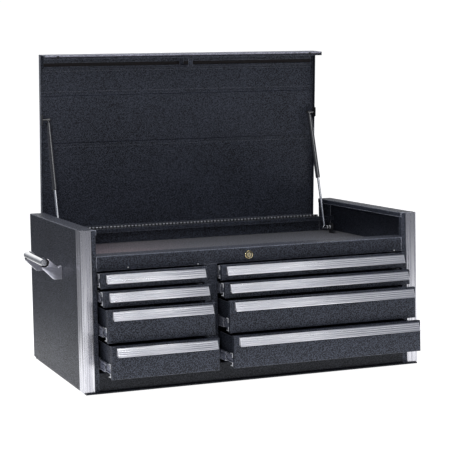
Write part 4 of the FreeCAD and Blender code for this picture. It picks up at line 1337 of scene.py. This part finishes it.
# ------------------------------------------------------------------ studio
@dataclass
class Studio:
    """Pale floor that brightens round the chest, a white backdrop and three soft lights."""

    floor_reach: float = 60.0
    floor_drop: float = 0.0005
    room: Colour = (0.16, 0.17, 0.20)
    backdrop: float = 1.05
    fades: tuple[tuple[str, Pair], ...] = (
        ("Z", (0.45, 0.28)), ("Y", (0.45, 0.8)), ("X", (-0.28, -0.1)))
    lamps: tuple[tuple[str, Place, float, Pair], ...] = (
        ("key_light", (0.7, -2.7, 3.0), 18.0, (1.8, 2.0)),
        ("front_light", (-1.95, -4.1, 1.15), 26.0, (0.6, 0.6)),
        ("top_light", (-0.7, 0.9, 3.3), 100.0, (2.6, 2.0)))
    aim: Place = (0.0, 0.0, 0.35)

    def build(self) -> None:
        """Builds the floor, the surroundings and the lights."""
        mesh = bpy.data.meshes.new("studio_floor")
        bm = bmesh.new()
        bmesh.ops.create_grid(bm, x_segments=8, y_segments=8, size=self.floor_reach)
        bm.to_mesh(mesh)
        bm.free()
        mesh.materials.append(StudioFloor().material())
        floor = bpy.data.objects.new("studio_floor", mesh)
        floor.location.z = -self.floor_drop
        bpy.context.scene.collection.objects.link(floor)
        self.surroundings()
        for lamp in self.lamps:
            self.softbox(*lamp)
        bpy.context.scene.view_settings.view_transform = "Standard"
        LOG.info("studio")

    def surroundings(self) -> None:
        """A white backdrop low down behind the chest and a dim room everywhere else."""
        world = bpy.data.worlds.new("studio")
        world.use_nodes = True
        tree = NodeTree(world.node_tree)
        ways = tree.node("TexCoord", {}).outputs["Generated"]
        split = tree.node("SeparateXYZ", {0: ways}).outputs
        share, *rest = (tree.spread(split[way], reach) for way, reach in self.fades)
        for fade in rest:
            share = tree.maths("MULTIPLY", share, fade)
        tree.feed(world.node_tree.nodes["Background"],
                  {"Color": tree.mixed(share, self.room, WHITE), "Strength": self.backdrop})
        bpy.context.scene.world = world

    def softbox(self, name: str, place: Place, power: float, size: Pair) -> None:
        """Hangs a rectangular area light that faces the chest.

        Args:
            name: The light's name.
            place: Where it hangs, in metres.
            power: Its power in watts.
            size: Its width and height in metres.
        """
        data = bpy.data.lights.new(name, "AREA")
        data.shape = "RECTANGLE"
        data.energy, data.size, data.size_y = power, *size
        lamp = bpy.data.objects.new(name, data)
        lamp.location = place
        aim = Vector(self.aim) - lamp.location
        lamp.rotation_euler = aim.to_track_quat("-Z", "Y").to_euler()
        bpy.context.scene.collection.objects.link(lamp)


@dataclass
class Viewpoint:
    """The camera, in front of the chest's left corner, at about eye height of someone seated."""

    place: Place = (-1.5732, -4.2747, 0.8872)
    yaw: float = 0.35783
    pitch: float = 0.07103
    roll: float = -0.02064
    lens: float = 118.13
    sink: float = -0.1
    sensor: float = 36.0
    clip: Pair = (0.05, 200.0)

    def build(self) -> None:
        """Sets up the scene's camera."""
        data = bpy.data.cameras.new("camera")
        data.lens, data.sensor_width, data.shift_y = self.lens, self.sensor, self.sink
        data.clip_start, data.clip_end = self.clip
        camera = bpy.data.objects.new("camera", data)
        ahead = Vector((math.sin(self.yaw) * math.cos(self.pitch),
                        math.cos(self.yaw) * math.cos(self.pitch), -math.sin(self.pitch)))
        right = Vector((math.cos(self.yaw), -math.sin(self.yaw), 0.0))
        up = right.cross(ahead)
        tilt_right = right * math.cos(self.roll) + up * math.sin(self.roll)
        tilt_up = up * math.cos(self.roll) - right * math.sin(self.roll)
        turn = Matrix((tilt_right, tilt_up, -ahead)).transposed()
        camera.matrix_world = Matrix.Translation(self.place) @ turn.to_4x4()
        bpy.context.scene.collection.objects.link(camera)
        bpy.context.scene.camera = camera
        LOG.info("camera")


def main() -> None:
    """Builds the studio and every sub-assembly of the chest in order."""
    logging.basicConfig(level=logging.INFO, format="%(name)s: %(message)s")
    Studio().build()
    Viewpoint().build()
    ChestCase().build()
    PianoHinge().build()
    Lid().build()
    for bank in Bank:
        DrawerBank(bank).build()
    for side in Side:
        CornerTrim(side).build()
        GasStrut(side).build()
        CarryHandle(side).build()
    Fittings().build()


if __name__ == "__main__":
    main()
